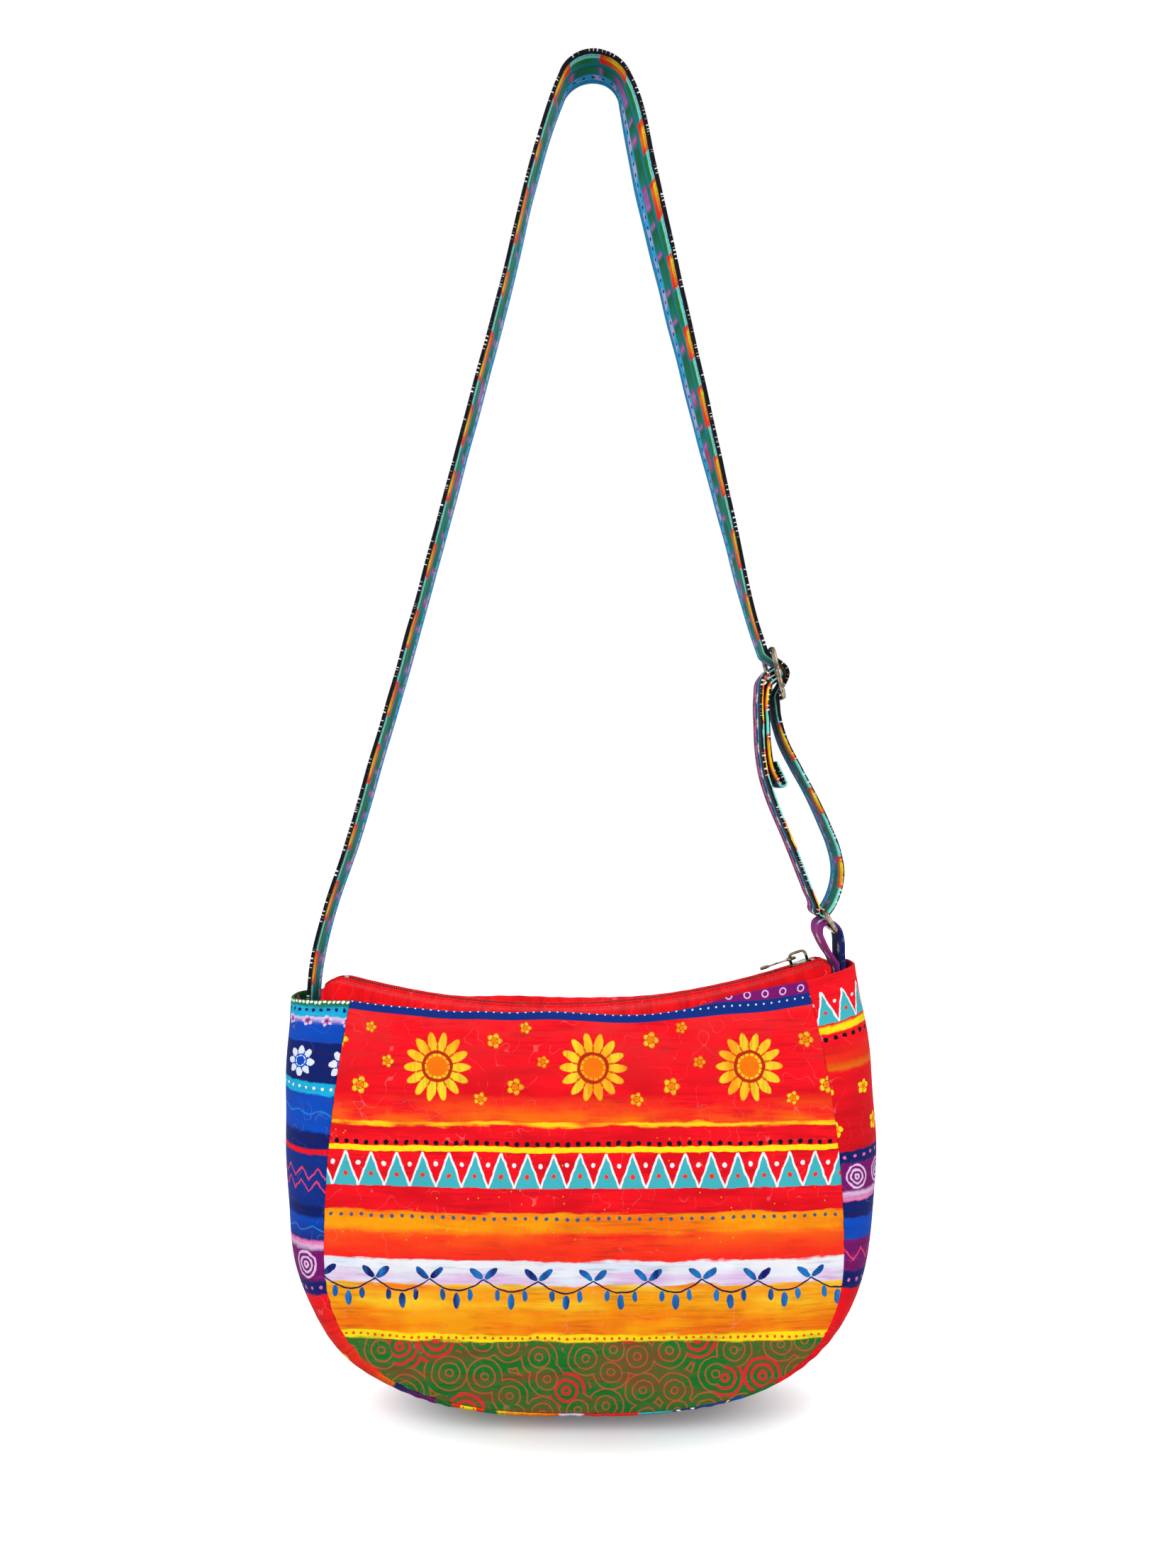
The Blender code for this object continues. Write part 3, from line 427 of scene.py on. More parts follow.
def surface(name, points, uv, round_section=False, closed_ends=False, turned=False):
    """Mesh object from a grid of points, rows along it and columns across, with its UV in metres.
    A round section joins the last column to the first, and then uv has one column more."""
    rows, columns = points.shape[:2]
    width = uv.shape[1]
    order = -1 if turned else 1
    r, c = grid(np.arange(rows - 1), np.arange(columns if round_section else columns - 1))

    def quads(row_length, after):
        near, far = r * row_length, (r + 1) * row_length
        return stacked(near + c, near + after, far + after, far + c).reshape(-1, 4)[:, ::order]

    faces = quads(columns, (c + 1) % columns).tolist()
    corners = quads(width, c + 1).ravel().tolist()
    if closed_ends:
        for row, way in ((0, -order), (rows - 1, order)):
            faces.append(list(range(row * columns, (row + 1) * columns))[::way])
            corners += list(range(row * width, row * width + columns))[::way]
    mesh = bpy.data.meshes.new(name)
    mesh.from_pydata(points.reshape(-1, 3).tolist(), [], faces)
    sheet = mesh.uv_layers.new(name="cloth")
    sheet.data.foreach_set("uv", uv.reshape(-1, 2)[corners].astype(np.float32).ravel())
    mesh.polygons.foreach_set("use_smooth", np.arange(len(faces)) < r.size)
    piece = bpy.data.objects.new(name, mesh)
    room.collection.objects.link(piece)
    return piece


def with_thickness(piece, thickness, offset=-1.0):
    """Cloth of one ply: the wall grows inwards from the surface, with offset -1."""
    wall = piece.modifiers.new("ply", "SOLIDIFY")
    wall.thickness = thickness
    wall.offset = offset
    return piece


def finished(piece, body, material, slot, *nodes):
    """Gives a piece its material and the body that it rides on, if any, and hides the model's nodes that it
    stands for.
    """
    piece.data.materials.append(material)
    if body:
        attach(piece, body)
    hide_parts(*nodes)


def panel_cloth(name, side, seed):
    """Front (side -1) or back (side +1) panel with its seam roll, waves and turned hem."""
    hem_rows = np.full(HEM_TURN_STEPS + HEM_PLY_ROWS, 1.0)
    u, v = np.meshgrid(crowded(PANEL_COLUMNS), np.concatenate([crowded(RIM_ROW + 1), hem_rows]))
    points = panel_points(u, v)
    x, z = points[..., 0], points[..., 2].copy()
    uv = stacked(x, z)
    if side > 0:
        points[..., 2] -= back_rim_sag(u) * v**4
    from_side = np.minimum(u, 1 - u) * 2 * HALF_WIDTH
    from_seam = np.minimum(from_side, v * (SIDE_HEIGHT["left"] + BOWL_DEPTH))
    below_hem = top_edge(u) - z
    inside = 1 - np.exp(-from_seam / PANEL_SWELL_REACH)
    swell = PANEL_SWELL * cloth_waves(x, z, PANEL_SWELL_LENGTH, seed)
    squeezed = z * PANEL_RIPPLE_SQUEEZE
    swell = swell + PANEL_RIPPLE * cloth_waves(x, squeezed, PANEL_RIPPLE_LENGTH, seed + 1)
    round_bag = np.arctan2(z - BOWL_TOP_Z, x - BAG_X) * HALF_WIDTH
    pucker = SEAM_PUCKER * np.exp(-from_seam / SEAM_PUCKER_REACH) * rippled(round_bag, SEAM_PUCKER_STEP)
    pucker = pucker * (0.5 + 0.5 * cloth_waves(x, z, SEAM_PUCKER_PATCH, seed + 2))
    wander = RIM_DRAG_WANDER * cloth_waves(x, z, RIM_DRAG_WANDER_LENGTH, seed + 3)
    drag = np.sin(x * 2 * math.pi / RIM_DRAG_STEP + wander)
    drag = RIM_DRAG * np.exp(-below_hem / RIM_DRAG_REACH) * drag
    hem_tug = HEM_TUG * bump_at(below_hem, HEM_SEAM_DEPTH, HEM_SEAM_SPREAD) * rippled(x, HEM_TUG_STEP)
    points[..., 1] += (swell + drag + hem_tug) * inside + pucker - seam_dip(from_seam)
    turn = np.linspace(0.0, math.pi, HEM_TURN_STEPS + 1)[1:, None]
    turned_ply = RIM_ROW + 1 + HEM_TURN_STEPS
    points[RIM_ROW + 1:] = points[RIM_ROW]
    points[RIM_ROW + 1:turned_ply, :, 1] -= HEM_RADIUS * (1 - np.cos(turn))
    points[RIM_ROW + 1:turned_ply, :, 2] += HEM_RADIUS * np.sin(turn)
    points[turned_ply:] = points[turned_ply - 1]
    points[turned_ply:, :, 2] -= HEM_DEPTH * np.linspace(0.0, 1.0, HEM_PLY_ROWS + 1)[1:, None]
    over_rim = travelled(points[RIM_ROW:, PANEL_COLUMNS // 2])[:, None]
    uv[RIM_ROW:, :, 1] = uv[RIM_ROW, :, 1] + over_rim
    points[..., 1] *= side
    piece = surface(name, points, uv, turned=side > 0)
    loops = np.empty(len(piece.data.loops), dtype=np.int64)
    piece.data.loops.foreach_get("vertex_index", loops)
    below_hem[RIM_ROW:] = -over_rim
    edging = piece.data.uv_layers.new(name="edging")
    edging.data.foreach_set("uv", stacked(x, below_hem).reshape(-1, 2)[loops].astype(np.float32).ravel())
    return with_thickness(piece, CANVAS_PLY)


front_cloth = panel_cloth("front_cloth", -1, 11)
back_cloth = panel_cloth("back_cloth", 1, 23)


def laid_over(mask, top, under):
    """The under colour with the top colour printed over it where the mask is 1."""
    return wired(mask.tree, "Mix", {0: mask, 6: under, 7: top}, 2, data_type="RGBA")


def printed(cloth, *layers):
    """A cloth's colour with other colours laid over it in turn, each with its mask."""
    for mask, colour in layers:
        cloth = laid_over(mask, colour, cloth)
    return cloth


def joined(along, across):
    """Vector of two lengths on the cloth."""
    return wired(along.tree, "CombineXYZ", (along, across))


def clouds(along, across, scale, detail=3.0):
    """Soft noise from 0 to 1 over the cloth, with lumps about 1 / scale long."""
    inputs = {"Vector": joined(along, across), "Scale": scale, "Detail": detail}
    return wired(along.tree, "TexNoise", inputs, noise_dimensions="2D")


def wavered(length, along, across, scale, amount, detail=2.0):
    """A length that soft noise shifts by up to half the amount each way."""
    return length + clouds(along, across, scale, detail) * amount - amount / 2


def scattered(along, across, cell, randomness):
    """Random points about a cell apart: the distance to the nearest one and its own mark, 0 to 1."""
    inputs = {"Vector": joined(along / cell, across / cell), "Scale": 1.0, "Randomness": randomness}
    away = wired(along.tree, "TexVoronoi", inputs, "Distance", voronoi_dimensions="2D")
    return away, wired(along.tree, "SeparateColor", (away.also("Color"),))


def distance(part, rise):
    """Root of the sum of two squares."""
    return (part * part + rise * rise).math("SQRT")


COLOUR_SOCKETS = ("first", "second", "dye")


def shader_group(*outputs):
    """Makes one shared node group of the function below it, which draws these outputs from its
    arguments. Called by that function's name, it puts the group into a shader and returns its
    output, or all if it has more."""

    def built(draw):
        group = bpy.data.node_groups.new(draw.__name__, "ShaderNodeTree")
        inputs = list(inspect.signature(draw).parameters)
        for way, labels in (("INPUT", inputs), ("OUTPUT", outputs)):
            for label in labels:
                kind = "NodeSocketColor" if label in COLOUR_SOCKETS else "NodeSocketFloat"
                group.interface.new_socket(label, in_out=way, socket_type=kind)
        given = group.nodes.new("NodeGroupInput")
        made = group.nodes.new("NodeGroupOutput")
        drawn = draw(*[Term(given.outputs[label]) for label in inputs])
        for label, value in zip(outputs, drawn if isinstance(drawn, tuple) else (drawn,)):
            feed(made.inputs[label], value)

        def placed(*values):
            node = values[0].tree.nodes.new("ShaderNodeGroup")
            node.node_tree = group
            for target, value in zip(node.inputs, values):
                feed(target, value)
            results = [Term(output) for output in node.outputs]
            return results[0] if len(results) == 1 else results

        return placed

    return built


@shader_group("height", "shade")
def canvas_weave(along, across, thread):
    """Plain weave: the product of two sine waves, one per thread each way, and uneven slubs."""
    weave = along.wave(thread) * across.wave(thread) * 0.5 + 0.5
    slubs = clouds(along * 0.25, across * 4.0, 420.0, 2.0)
    shade = clouds(along, across, 34.0, 4.0) * 0.16 + slubs * 0.10 + weave * 0.05 + 0.86
    return weave + slubs * 0.6, shade


@shader_group("dye")
def brushed_dye(along, across, first, second):
    """Two dyes brushed into each other in long streaks, with darker bristle marks and pale scribbles
    where a soft noise passes one half."""
    streaks = clouds(along * 0.16, across, 130.0, 5.0)
    patches = clouds(along, across, 24.0, 4.0)
    share = (streaks - 0.5) * 3.0 + (patches - 0.5) * 2.8 + 0.40
    bristles = clouds(along * 0.07, across, 560.0, 3.0).below(0.42, 0.10)
    scribble = (clouds(along, across, 60.0, 1.0) - 0.5).size().below(0.003, 0.003)
    return printed(
        first,
        (share.math("MAXIMUM", 0.0).math("MINIMUM", 1.0), second),
        (bristles * patches.below(0.52, 0.10) * 0.24, (0.05, 0.0, 0.01)),
        (scribble * streaks.below(0.50, 0.08) * 0.10, (1.0, 0.86, 0.80)),
    )


@shader_group("mask")
def dot_row(along, across, line, pitch, radius):
    """Row of round dots: distance from the middle of each cell on the line."""
    return distance(along.inside_cell(pitch), across - line).below(radius)


@shader_group("mask")
def speck_field(along, across, cell, radius):
    """Scattered droplets of dye: the nearest of some random points, where its mark is low."""
    away, mark = scattered(along, across, cell, 1.0)
    few = mark.below(0.30, 0.01) * clouds(along, across, 14.0, 2.0).below(0.48, 0.04)
    return (away * cell).below(radius) * few


@shader_group("flower", "heart", "ring", "vein", "rim")
def blossom_row(along, across, line, pitch, radius, petals):
    """Row of flowers: the edge is the radius times 0.60 plus 0.40 times the cosine's size, with a
    drawn rim, and the heart and the ring round it are circles."""
    part = along.inside_cell(pitch)
    rise = across - line
    away = distance(part, rise)
    lobes = (rise.math("ARCTAN2", part) * petals * 0.5).math("COSINE").size()
    edge = radius * (lobes * 0.40 + 0.60)
    heart = away.below(radius * 0.30)
    ring = (away - radius * 0.42).size().below(radius * 0.05)
    vein = lobes.below(0.35, 0.1) * away.below(radius * 0.62) * (1 - heart)
    return away.below(edge, 0.00025), heart, ring, vein, (away - edge).size().below(0.00028)


@shader_group("tooth", "line", "low_dot", "high_dot")
def tooth_border(along, across, low, high, pitch):
    """Border of triangles: a tooth is where the height's share is under 1 less the share across."""
    part = along.inside_cell(pitch)
    tall = high - low
    height = (across - low) / tall
    edge = height + part.size() * 2 / pitch - 1
    band = (height - 0.5).size().below(0.5, 0.01)
    low_dot = distance(part, (height - 0.34) * tall)
    high_dot = distance((along + pitch * 0.5).inside_cell(pitch), (height - 0.66) * tall)
    marks = edge.below(0.0, 0.02), edge.size().below(0.085, 0.02), *[
        dot.below(pitch * 0.085) for dot in (low_dot, high_dot)
    ]
    return tuple(mark * band for mark in marks)


@shader_group("line", "bold")
def ring_field(along, across, cell, rings):
    """Rings round scattered points: the distance to the nearest one, cut into equal steps."""
    away, mark = scattered(along, across, cell, 0.82)
    bold = mark.below(0.26, 0.01)
    return ((away * rings).share() - 0.5).size().below(bold * 0.09 + 0.10, 0.06), bold


@shader_group("cord", "leaf", "drop")
def leaf_swags(along, across, line, pitch):
    """Hanging cord: its height is the line less the size of a sine. A pair of leaves stands at each
    cusp and drops hang along the sag; leaves and drops are ellipses."""
    fall = across - line
    cord = (fall + along.wave(pitch * 2).size() * 0.0065).size().below(0.0005)
    cusp = (along + pitch * 0.5).inside_cell(pitch).size() - 0.0042
    rise = fall - 0.0034
    leaf = distance((cusp * 0.77 + rise * 0.64) / 0.0046, (rise * 0.77 - cusp * 0.64) / 0.0019)
    middle = along.inside_cell(pitch)
    long_drop = distance((fall + 0.0118) / 0.0042, middle / 0.0020).below(1.0, 0.06)
    short_drop = distance((fall + 0.0085) / 0.0032, (middle.size() - 0.0078) / 0.0015).below(1.0, 0.06)
    return cord, leaf.below(1.0, 0.06), long_drop.math("MAXIMUM", short_drop)


def dye(red, green, blue):
    """Linear colour from the 0 to 255 values that a screen shows."""
    shown = np.array([red, green, blue]) / 255
    return tuple(np.where(shown <= 0.04045, shown / 12.92, ((shown + 0.055) / 1.055) ** 2.4).tolist())


def colour_bands(height, bands):
    """Colour ramp over a length in metres. Each band, in rising order, is its place or its start
    and end, and then its colour."""
    stops = [(place, (*colour, 1.0)) for *places, colour in bands for place in places]
    low, high = stops[0][0], stops[-1][0]
    ramp = wired(height.tree, "ValToRGB", ((height - low) / (high - low),))
    elements = ramp.socket.node.color_ramp.elements
    elements[0].color = stops[0][1]
    elements[1].color = stops[-1][1]
    for place, colour in stops[1:-1]:
        elements.new((place - low) / (high - low)).color = colour
    return ramp


def cloth_lengths(tree, layer):
    """The two lengths, in metres, that a UV map holds."""
    lengths = wired(tree, "SeparateXYZ", (wired(tree, "UVMap", uv_map=layer),))
    return lengths, lengths.also(1)


def new_cloth_material(name):
    """Material of matt cloth: returns it and the two lengths of the cloth that it is given to."""
    material = bpy.data.materials.new(name)
    material.use_nodes = True
    inputs = material.node_tree.nodes["Principled BSDF"].inputs
    inputs["Roughness"].default_value = 0.82
    inputs["Specular IOR Level"].default_value = 0.10
    inputs["Sheen Weight"].default_value = 0.03
    inputs["Sheen Roughness"].default_value = 0.6
    return material, *cloth_lengths(material.node_tree, "cloth")


def finish_cloth(material, colour, height, shade, bump=0.00012):
    """Feeds a cloth's printed colour, darkened by its threads' shade, and its height to the shader."""
    tree = material.node_tree
    inputs = tree.nodes["Principled BSDF"].inputs
    grey = wired(tree, "CombineColor", (shade, shade, shade))
    darkened = {0: 1.0, 6: colour, 7: grey}
    feed(inputs["Base Color"], wired(tree, "Mix", darkened, 2, data_type="RGBA", blend_type="MULTIPLY"))
    feed(inputs["Normal"], wired(tree, "Bump", {"Height": height, "Strength": 0.5, "Distance": bump}))


def rows_of(motif, cloth, along, across, *rows):
    """Prints rows of one motif over a cloth, each with its own sizes and, last, its colour."""
    return printed(cloth, *[(motif(along, across, *sizes), colour) for *sizes, colour in rows])


CANVAS_THREAD = 0.00075
RED = dye(250, 14, 30)
DEEP_RED = dye(222, 4, 24)
ORANGE_RED = dye(250, 50, 24)
ORANGE = dye(248, 118, 4)
AMBER = dye(252, 160, 6)
YELLOW = dye(255, 228, 16)
PALE_BLUE = dye(226, 234, 250)
LILAC = dye(228, 196, 236)
TURQUOISE = dye(64, 182, 194)
AQUA = dye(20, 180, 226)
BLUE = dye(2, 76, 192)
NAVY = dye(4, 30, 106)
INK = dye(8, 8, 18)
WHITE = dye(246, 246, 248)
GREEN = dye(16, 118, 44)
MOSS = dye(112, 84, 40)
PURPLE = dye(122, 16, 108)
PINK = dye(240, 110, 176)


def bordered(cloth, along, across, *sizes):
    """Prints a border of turquoise teeth with white edges and red and white dots over a cloth."""
    return printed(cloth, *zip(tooth_border(along, across, *sizes), (TURQUOISE, WHITE, ORANGE_RED, WHITE)))


printed_canvas, print_x, print_z = new_cloth_material("printed_canvas")
print_y = wavered(print_z, print_x, print_z, 40.0, 0.0020)
drawn_x = wavered(print_x, print_x, print_z, 170.0, 0.0014)
drawn_y = wavered(print_y, print_z, print_x, 170.0, 0.0012)
bristled_y = wavered(drawn_y, print_x * 0.10, print_z, 300.0, 0.0040, 3.0)
panel_bands = colour_bands(bristled_y, [
    (-0.7900, -0.7449, GREEN), (-0.7447, -0.7412, YELLOW), (-0.7410, -0.7330, ORANGE),
    (-0.7230, -0.7180, AMBER), (-0.7137, dye(252, 206, 60)), (-0.7133, -0.7070, LILAC),
    (-0.7055, -0.7003, PALE_BLUE), (-0.7001, -0.6860, ORANGE_RED), (-0.6830, -0.6740, ORANGE),
    (-0.6738, -0.6264, RED), (-0.6258, -0.6225, ORANGE_RED), (-0.6130, -0.5300, RED),
])
panel_second = colour_bands(bristled_y, [
    (-0.7900, -0.7449, MOSS), (-0.7447, -0.7412, YELLOW), (-0.7410, -0.7330, AMBER),
    (-0.7230, dye(255, 200, 40)), (-0.7137, ORANGE), (-0.7133, PALE_BLUE), (-0.7003, WHITE),
    (-0.7001, RED), (-0.6860, dye(252, 92, 16)), (-0.6830, -0.6740, AMBER), (-0.6738, -0.6264, DEEP_RED),
    (-0.6258, -0.6225, ORANGE), (-0.6160, dye(252, 76, 20)), (-0.6080, DEEP_RED), (-0.5300, dye(252, 56, 56)),
])
streak = (bristled_y + 0.6249).size().below(0.0010, 0.0007)
streak = streak * clouds(print_x * 0.5, print_z, 60.0, 2.0).below(0.62, 0.16)
specks = speck_field(print_x, print_z, 0.0060, 0.00034)
ring_line, bold_ring = ring_field(drawn_x, drawn_y, 0.0185, 4.6)
ring_line = bristled_y.below(-0.7450) * ring_line * (bold_ring * 0.25 + 0.70)
panel_dye = printed(
    brushed_dye(print_x, print_z, panel_bands, panel_second),
    ((drawn_y + 0.6387).size().below(0.0016), YELLOW),
    (streak, dye(255, 214, 20)),
    (specks * drawn_y.below(-0.6120) * (1 - drawn_y.below(-0.6900)) * 0.7, YELLOW),
    (ring_line, laid_over(bold_ring, dye(236, 30, 46), dye(218, 84, 48))),
)
panel_dye = bordered(panel_dye, drawn_x, drawn_y, -0.6600, -0.6408, 0.0150)
panel_dye = rows_of(
    dot_row, panel_dye, drawn_x, drawn_y,
    (-0.6354, 0.0058, 0.0014, INK),
    (-0.6766, 0.0059, 0.0011, dye(62, 92, 128)),
    (-0.7429, 0.0042, 0.0008, ORANGE_RED),
)
petal_dye = brushed_dye(print_z, print_x, dye(255, 214, 40), dye(248, 158, 20))
for line, radius, petals, shift in (
    (-0.5930, 0.0195, 14.0, 0.045),
    (-0.5780, 0.0046, 5.0, 0.012),
    (-0.6040, 0.0050, 5.0, 0.0),
    (-0.5900, 0.0036, 5.0, -0.016),
    (-0.5710, 0.0034, 5.0, -0.006),
    (-0.6110, 0.0040, 5.0, 0.020),
):
    flower, heart, ring, vein, rim = blossom_row(drawn_x + shift, drawn_y, line, 0.090, radius, petals)
    vein = vein.math("MAXIMUM", rim)
    panel_dye = printed(
        panel_dye, (flower, petal_dye), (vein, dye(222, 92, 12)), (heart, ORANGE), (ring, dye(190, 40, 10))
    )
cord, leaf, drop = leaf_swags(drawn_x, drawn_y, -0.7108, 0.031)
leaf_dye = brushed_dye(print_z, print_x, dye(24, 120, 200), dye(14, 24, 104))
edge_x, edge_below = cloth_lengths(printed_canvas.node_tree, "edging")
edging = edge_below - (edge_x.below(0.076, 0.034) * -0.0088 + 0.0058)
loop_outer, loop_inner = [dot_row(edge_x, edging, -0.0032, 0.0105, radius) for radius in (0.0021, 0.0014)]
panel_dye = printed(
    panel_dye,
    (drop, leaf_dye),
    (leaf, leaf_dye),
    (cord, dye(10, 16, 62)),
    (edging.below(0.0066), dye(8, 46, 130)),
    (dot_row(edge_x, edging, 0.0022, 0.0046, 0.00050), WHITE),
    (edging.below(0.0), PURPLE),
    (loop_outer * (1 - loop_inner), LILAC),
)
finish_cloth(printed_canvas, panel_dye, *canvas_weave(print_x, print_z, CANVAS_THREAD))
for panel, node in ((front_cloth, "front_panel"), (back_cloth, "back_panel")):
    finished(panel, "bag", printed_canvas, "printed_canvas", node)


# The gusset: one long strip of the same printed canvas, sewn between the two panels all round and
# hemmed at both ends. It bulges at the sides, is boxy at its ends and gathers a little at the seams.

GUSSET_BULGE = [0.0385, 0.0250, 0.0110, 0.0070, 0.0082, 0.0230, 0.0335]
GUSSET_TOP_POWER = 3.0
GUSSET_POWER = 2.1
GUSSET_ROWS = 330
GUSSET_COLUMNS = 53
GUSSET_HEM_ROWS = [0, 1, 3, 5, 7]
GUSSET_SWELL = 0.0009
GUSSET_SWELL_LENGTH = 0.055
GUSSET_SWELL_REACH = 0.010
GUSSET_GATHER = 0.00045
GUSSET_GATHER_STEP = 0.0093
GUSSET_GATHER_REACH = 0.009
GUSSET_GATHER_PATCH = 0.06
GUSSET_END_TUG = 0.0003


def bulge(share):
    return smooth_through(GUSSET_STATION, GUSSET_BULGE, share)


def gusset_power(share):
    """Power of the gusset's section: boxy at its two ends and round below."""
    return GUSSET_POWER + (GUSSET_TOP_POWER - GUSSET_POWER) * np.abs(2 * share - 1) ** 6


def gusset_points(share, across):
    """Superellipse between the two seams, square to the seam line. Across goes from 0 at the front
    seam to 1 at the back one, and the rows crowd at the seams."""
    turn = math.pi / 2 * np.sin(math.pi * (across - 0.5))
    power = 2 / gusset_power(share)
    reach = DRAWN_SEAM_GAP / 2 + bulge(share) * signed_power(np.cos(turn), power)
    place = seam_at(share) + outward(share) * reach[..., None]
    return stacked(place[..., 0], half_depth(share) * signed_power(np.sin(turn), power), place[..., 1])


def turned_hem(rows, inward, back):
    """Cloth folded over its first row: half a small circle, then a ply inside the rows that follow."""
    turn = np.linspace(0.0, math.pi, HEM_TURN_STEPS + 1)[1:, None, None]
    fold = rows[0] + inward[0] * HEM_RADIUS * (1 - np.cos(turn)) - back * HEM_RADIUS * np.sin(turn)
    return np.concatenate([fold, rows[1:] + inward[1:] * HEM_RADIUS * 2])


share_grid, across_grid = grid(np.linspace(0.0, 1.0, GUSSET_ROWS), np.linspace(0.0, 1.0, GUSSET_COLUMNS))
gusset_grid = gusset_points(share_grid, across_grid)
gusset_out = unit(np.cross(np.gradient(gusset_grid, axis=1), np.gradient(gusset_grid, axis=0)))
gusset_across = np.stack([travelled(row) for row in gusset_grid])
gusset_along = share_grid * seam_length
from_edge = np.minimum(gusset_across, gusset_across[:, -1:] - gusset_across)
from_end = np.minimum(gusset_along, seam_length - gusset_along)
lift = GUSSET_SWELL * cloth_waves(gusset_along, gusset_across, GUSSET_SWELL_LENGTH, 41)
lift = lift * (1 - np.exp(-from_edge / GUSSET_SWELL_REACH))
gather = np.exp(-from_edge / GUSSET_GATHER_REACH) * rippled(gusset_along, GUSSET_GATHER_STEP)
gather_patch = cloth_waves(gusset_along, gusset_across, GUSSET_GATHER_PATCH, 43)
gather = GUSSET_GATHER * gather * (0.5 + 0.5 * gather_patch)
end_tug = bump_at(from_end, HEM_SEAM_DEPTH, HEM_SEAM_SPREAD) * rippled(gusset_across, HEM_TUG_STEP)
end_tug = GUSSET_END_TUG * end_tug
gusset_grid += gusset_out * (lift + gather + end_tug)[..., None]
gusset_grid[..., 1] -= np.sign(gusset_grid[..., 1]) * seam_dip(from_edge)
gusset_back = unit(np.gradient(gusset_grid, axis=0))
right_hem_rows = [-1 - row for row in GUSSET_HEM_ROWS]
left_hem = turned_hem(gusset_grid[GUSSET_HEM_ROWS], -gusset_out[GUSSET_HEM_ROWS], gusset_back[0])
right_hem = turned_hem(gusset_grid[right_hem_rows], -gusset_out[right_hem_rows], -gusset_back[-1])
hem_travel = travelled(left_hem[:, GUSSET_COLUMNS // 2])[:, None] + HEM_RADIUS
gusset_grid = np.concatenate([left_hem[::-1], gusset_grid, right_hem])
gusset_uv = np.concatenate([
    stacked(-hem_travel, gusset_across[:1])[::-1],
    stacked(gusset_along, gusset_across),
    stacked(seam_length + hem_travel, gusset_across[-1:]),
])
gusset_cloth = with_thickness(surface("gusset_cloth", gusset_grid, gusset_uv), CANVAS_PLY)


@shader_group("mask")
def target_row(along, across, line, pitch, radius, step):
    """Row of ringed discs: rings one step apart round the middle of each cell."""
    away = distance(along.inside_cell(pitch), across - line)
    return ((away / step).share() - 0.5).size().below(0.24, 0.08) * away.below(radius)


@shader_group("mask")
def zigzag_row(along, across, line, pitch, height, thick):
    """Zigzag line: a triangle wave of that height about the line."""
    wave = (along.inside_cell(pitch).size() / pitch - 0.25) * 2 * height
    return (across - line - wave).size().below(thick)


gusset_canvas, strip_along, strip_across = new_cloth_material("gusset_canvas")
strip_place = wavered(strip_along, strip_along, strip_across, 40.0, 0.0020)
strip_place = wavered(strip_place, strip_across, strip_along, 230.0, 0.0018)
strip_width = wavered(strip_across, strip_along, strip_across, 210.0, 0.0018)
SEA_BLUE = dye(6, 48, 140)
gusset_first = colour_bands(strip_place, [
    (-0.0300, 0.0024, GREEN), (0.0027, 0.0090, AQUA), (0.0096, LILAC), (0.0130, 0.0244, BLUE),
    (0.0248, 0.0472, NAVY), (0.0476, 0.0544, AQUA), (0.0549, 0.0750, BLUE), (0.0765, 0.0850, NAVY),
    (0.0855, 0.0882, RED), (0.0886, 0.1168, SEA_BLUE), (0.1174, 0.1230, NAVY), (0.1236, BLUE),
    (0.1360, SEA_BLUE), (0.1366, PINK), (0.1400, LILAC), (0.1412, 0.1576, PURPLE), (0.1582, 0.1656, NAVY),
    (0.1662, RED), (0.2150, ORANGE_RED), (0.2300, ORANGE),
])
gusset_second = colour_bands(strip_place, [
    (0.2300, ORANGE), (0.2310, NAVY), (0.2550, PURPLE), (0.2560, 0.2900, GREEN), (0.2910, 0.2950, YELLOW),
    (0.2960, AMBER), (0.3250, ORANGE), (0.3260, LILAC), (0.3380, PALE_BLUE), (0.3390, ORANGE_RED),
    (0.3700, RED), (0.3710, 0.3900, TURQUOISE), (0.3910, NAVY), (0.4300, BLUE), (0.4310, 0.4500, GREEN),
    (0.4510, 0.4970, RED),
])
gusset_third = colour_bands(strip_place, [
    (0.4970, 0.5170, RED), (0.5175, 0.5265, NAVY), (0.5275, 0.5440, PURPLE), (0.5446, 0.5556, BLUE),
    (0.5562, 0.5652, NAVY), (0.5658, PINK), (0.5700, LILAC), (0.5712, 0.5862, PURPLE),
    (0.5868, 0.5930, NAVY), (0.5936, DEEP_RED), (0.6380, RED), (0.6400, ORANGE), (0.6440, ORANGE_RED),
    (0.6540, 0.6600, RED), (0.6604, 0.6640, YELLOW), (0.6644, 0.7200, RED),
])
gusset_dye = laid_over(strip_place.below(0.2300), gusset_first, gusset_second)
gusset_dye = laid_over(strip_place.below(0.4970), gusset_dye, gusset_third)
muted = wired(gusset_canvas.node_tree, "HueSaturation", {"Color": gusset_dye, "Value": 0.66})
muted = laid_over(clouds(strip_along, strip_across, 30.0), muted, gusset_dye)
gusset_dye = rows_of(
    dot_row, brushed_dye(strip_across, strip_along, gusset_dye, muted), strip_width, strip_place,
    (0.0048, 0.0046, 0.0011, NAVY), (0.0002, 0.0027, 0.0010, WHITE), (0.0510, 0.0050, 0.0009, WHITE),
    (-0.0050, 0.0130, 0.0028, PINK), (0.1619, 0.0062, 0.0011, PINK), (0.5900, 0.0062, 0.0010, PINK),
    (0.5220, 0.0062, 0.0010, PINK), (0.6574, 0.0058, 0.0014, INK), (0.2930, 0.0046, 0.0009, ORANGE_RED),
    (0.3800, 0.0080, 0.0022, NAVY),
)
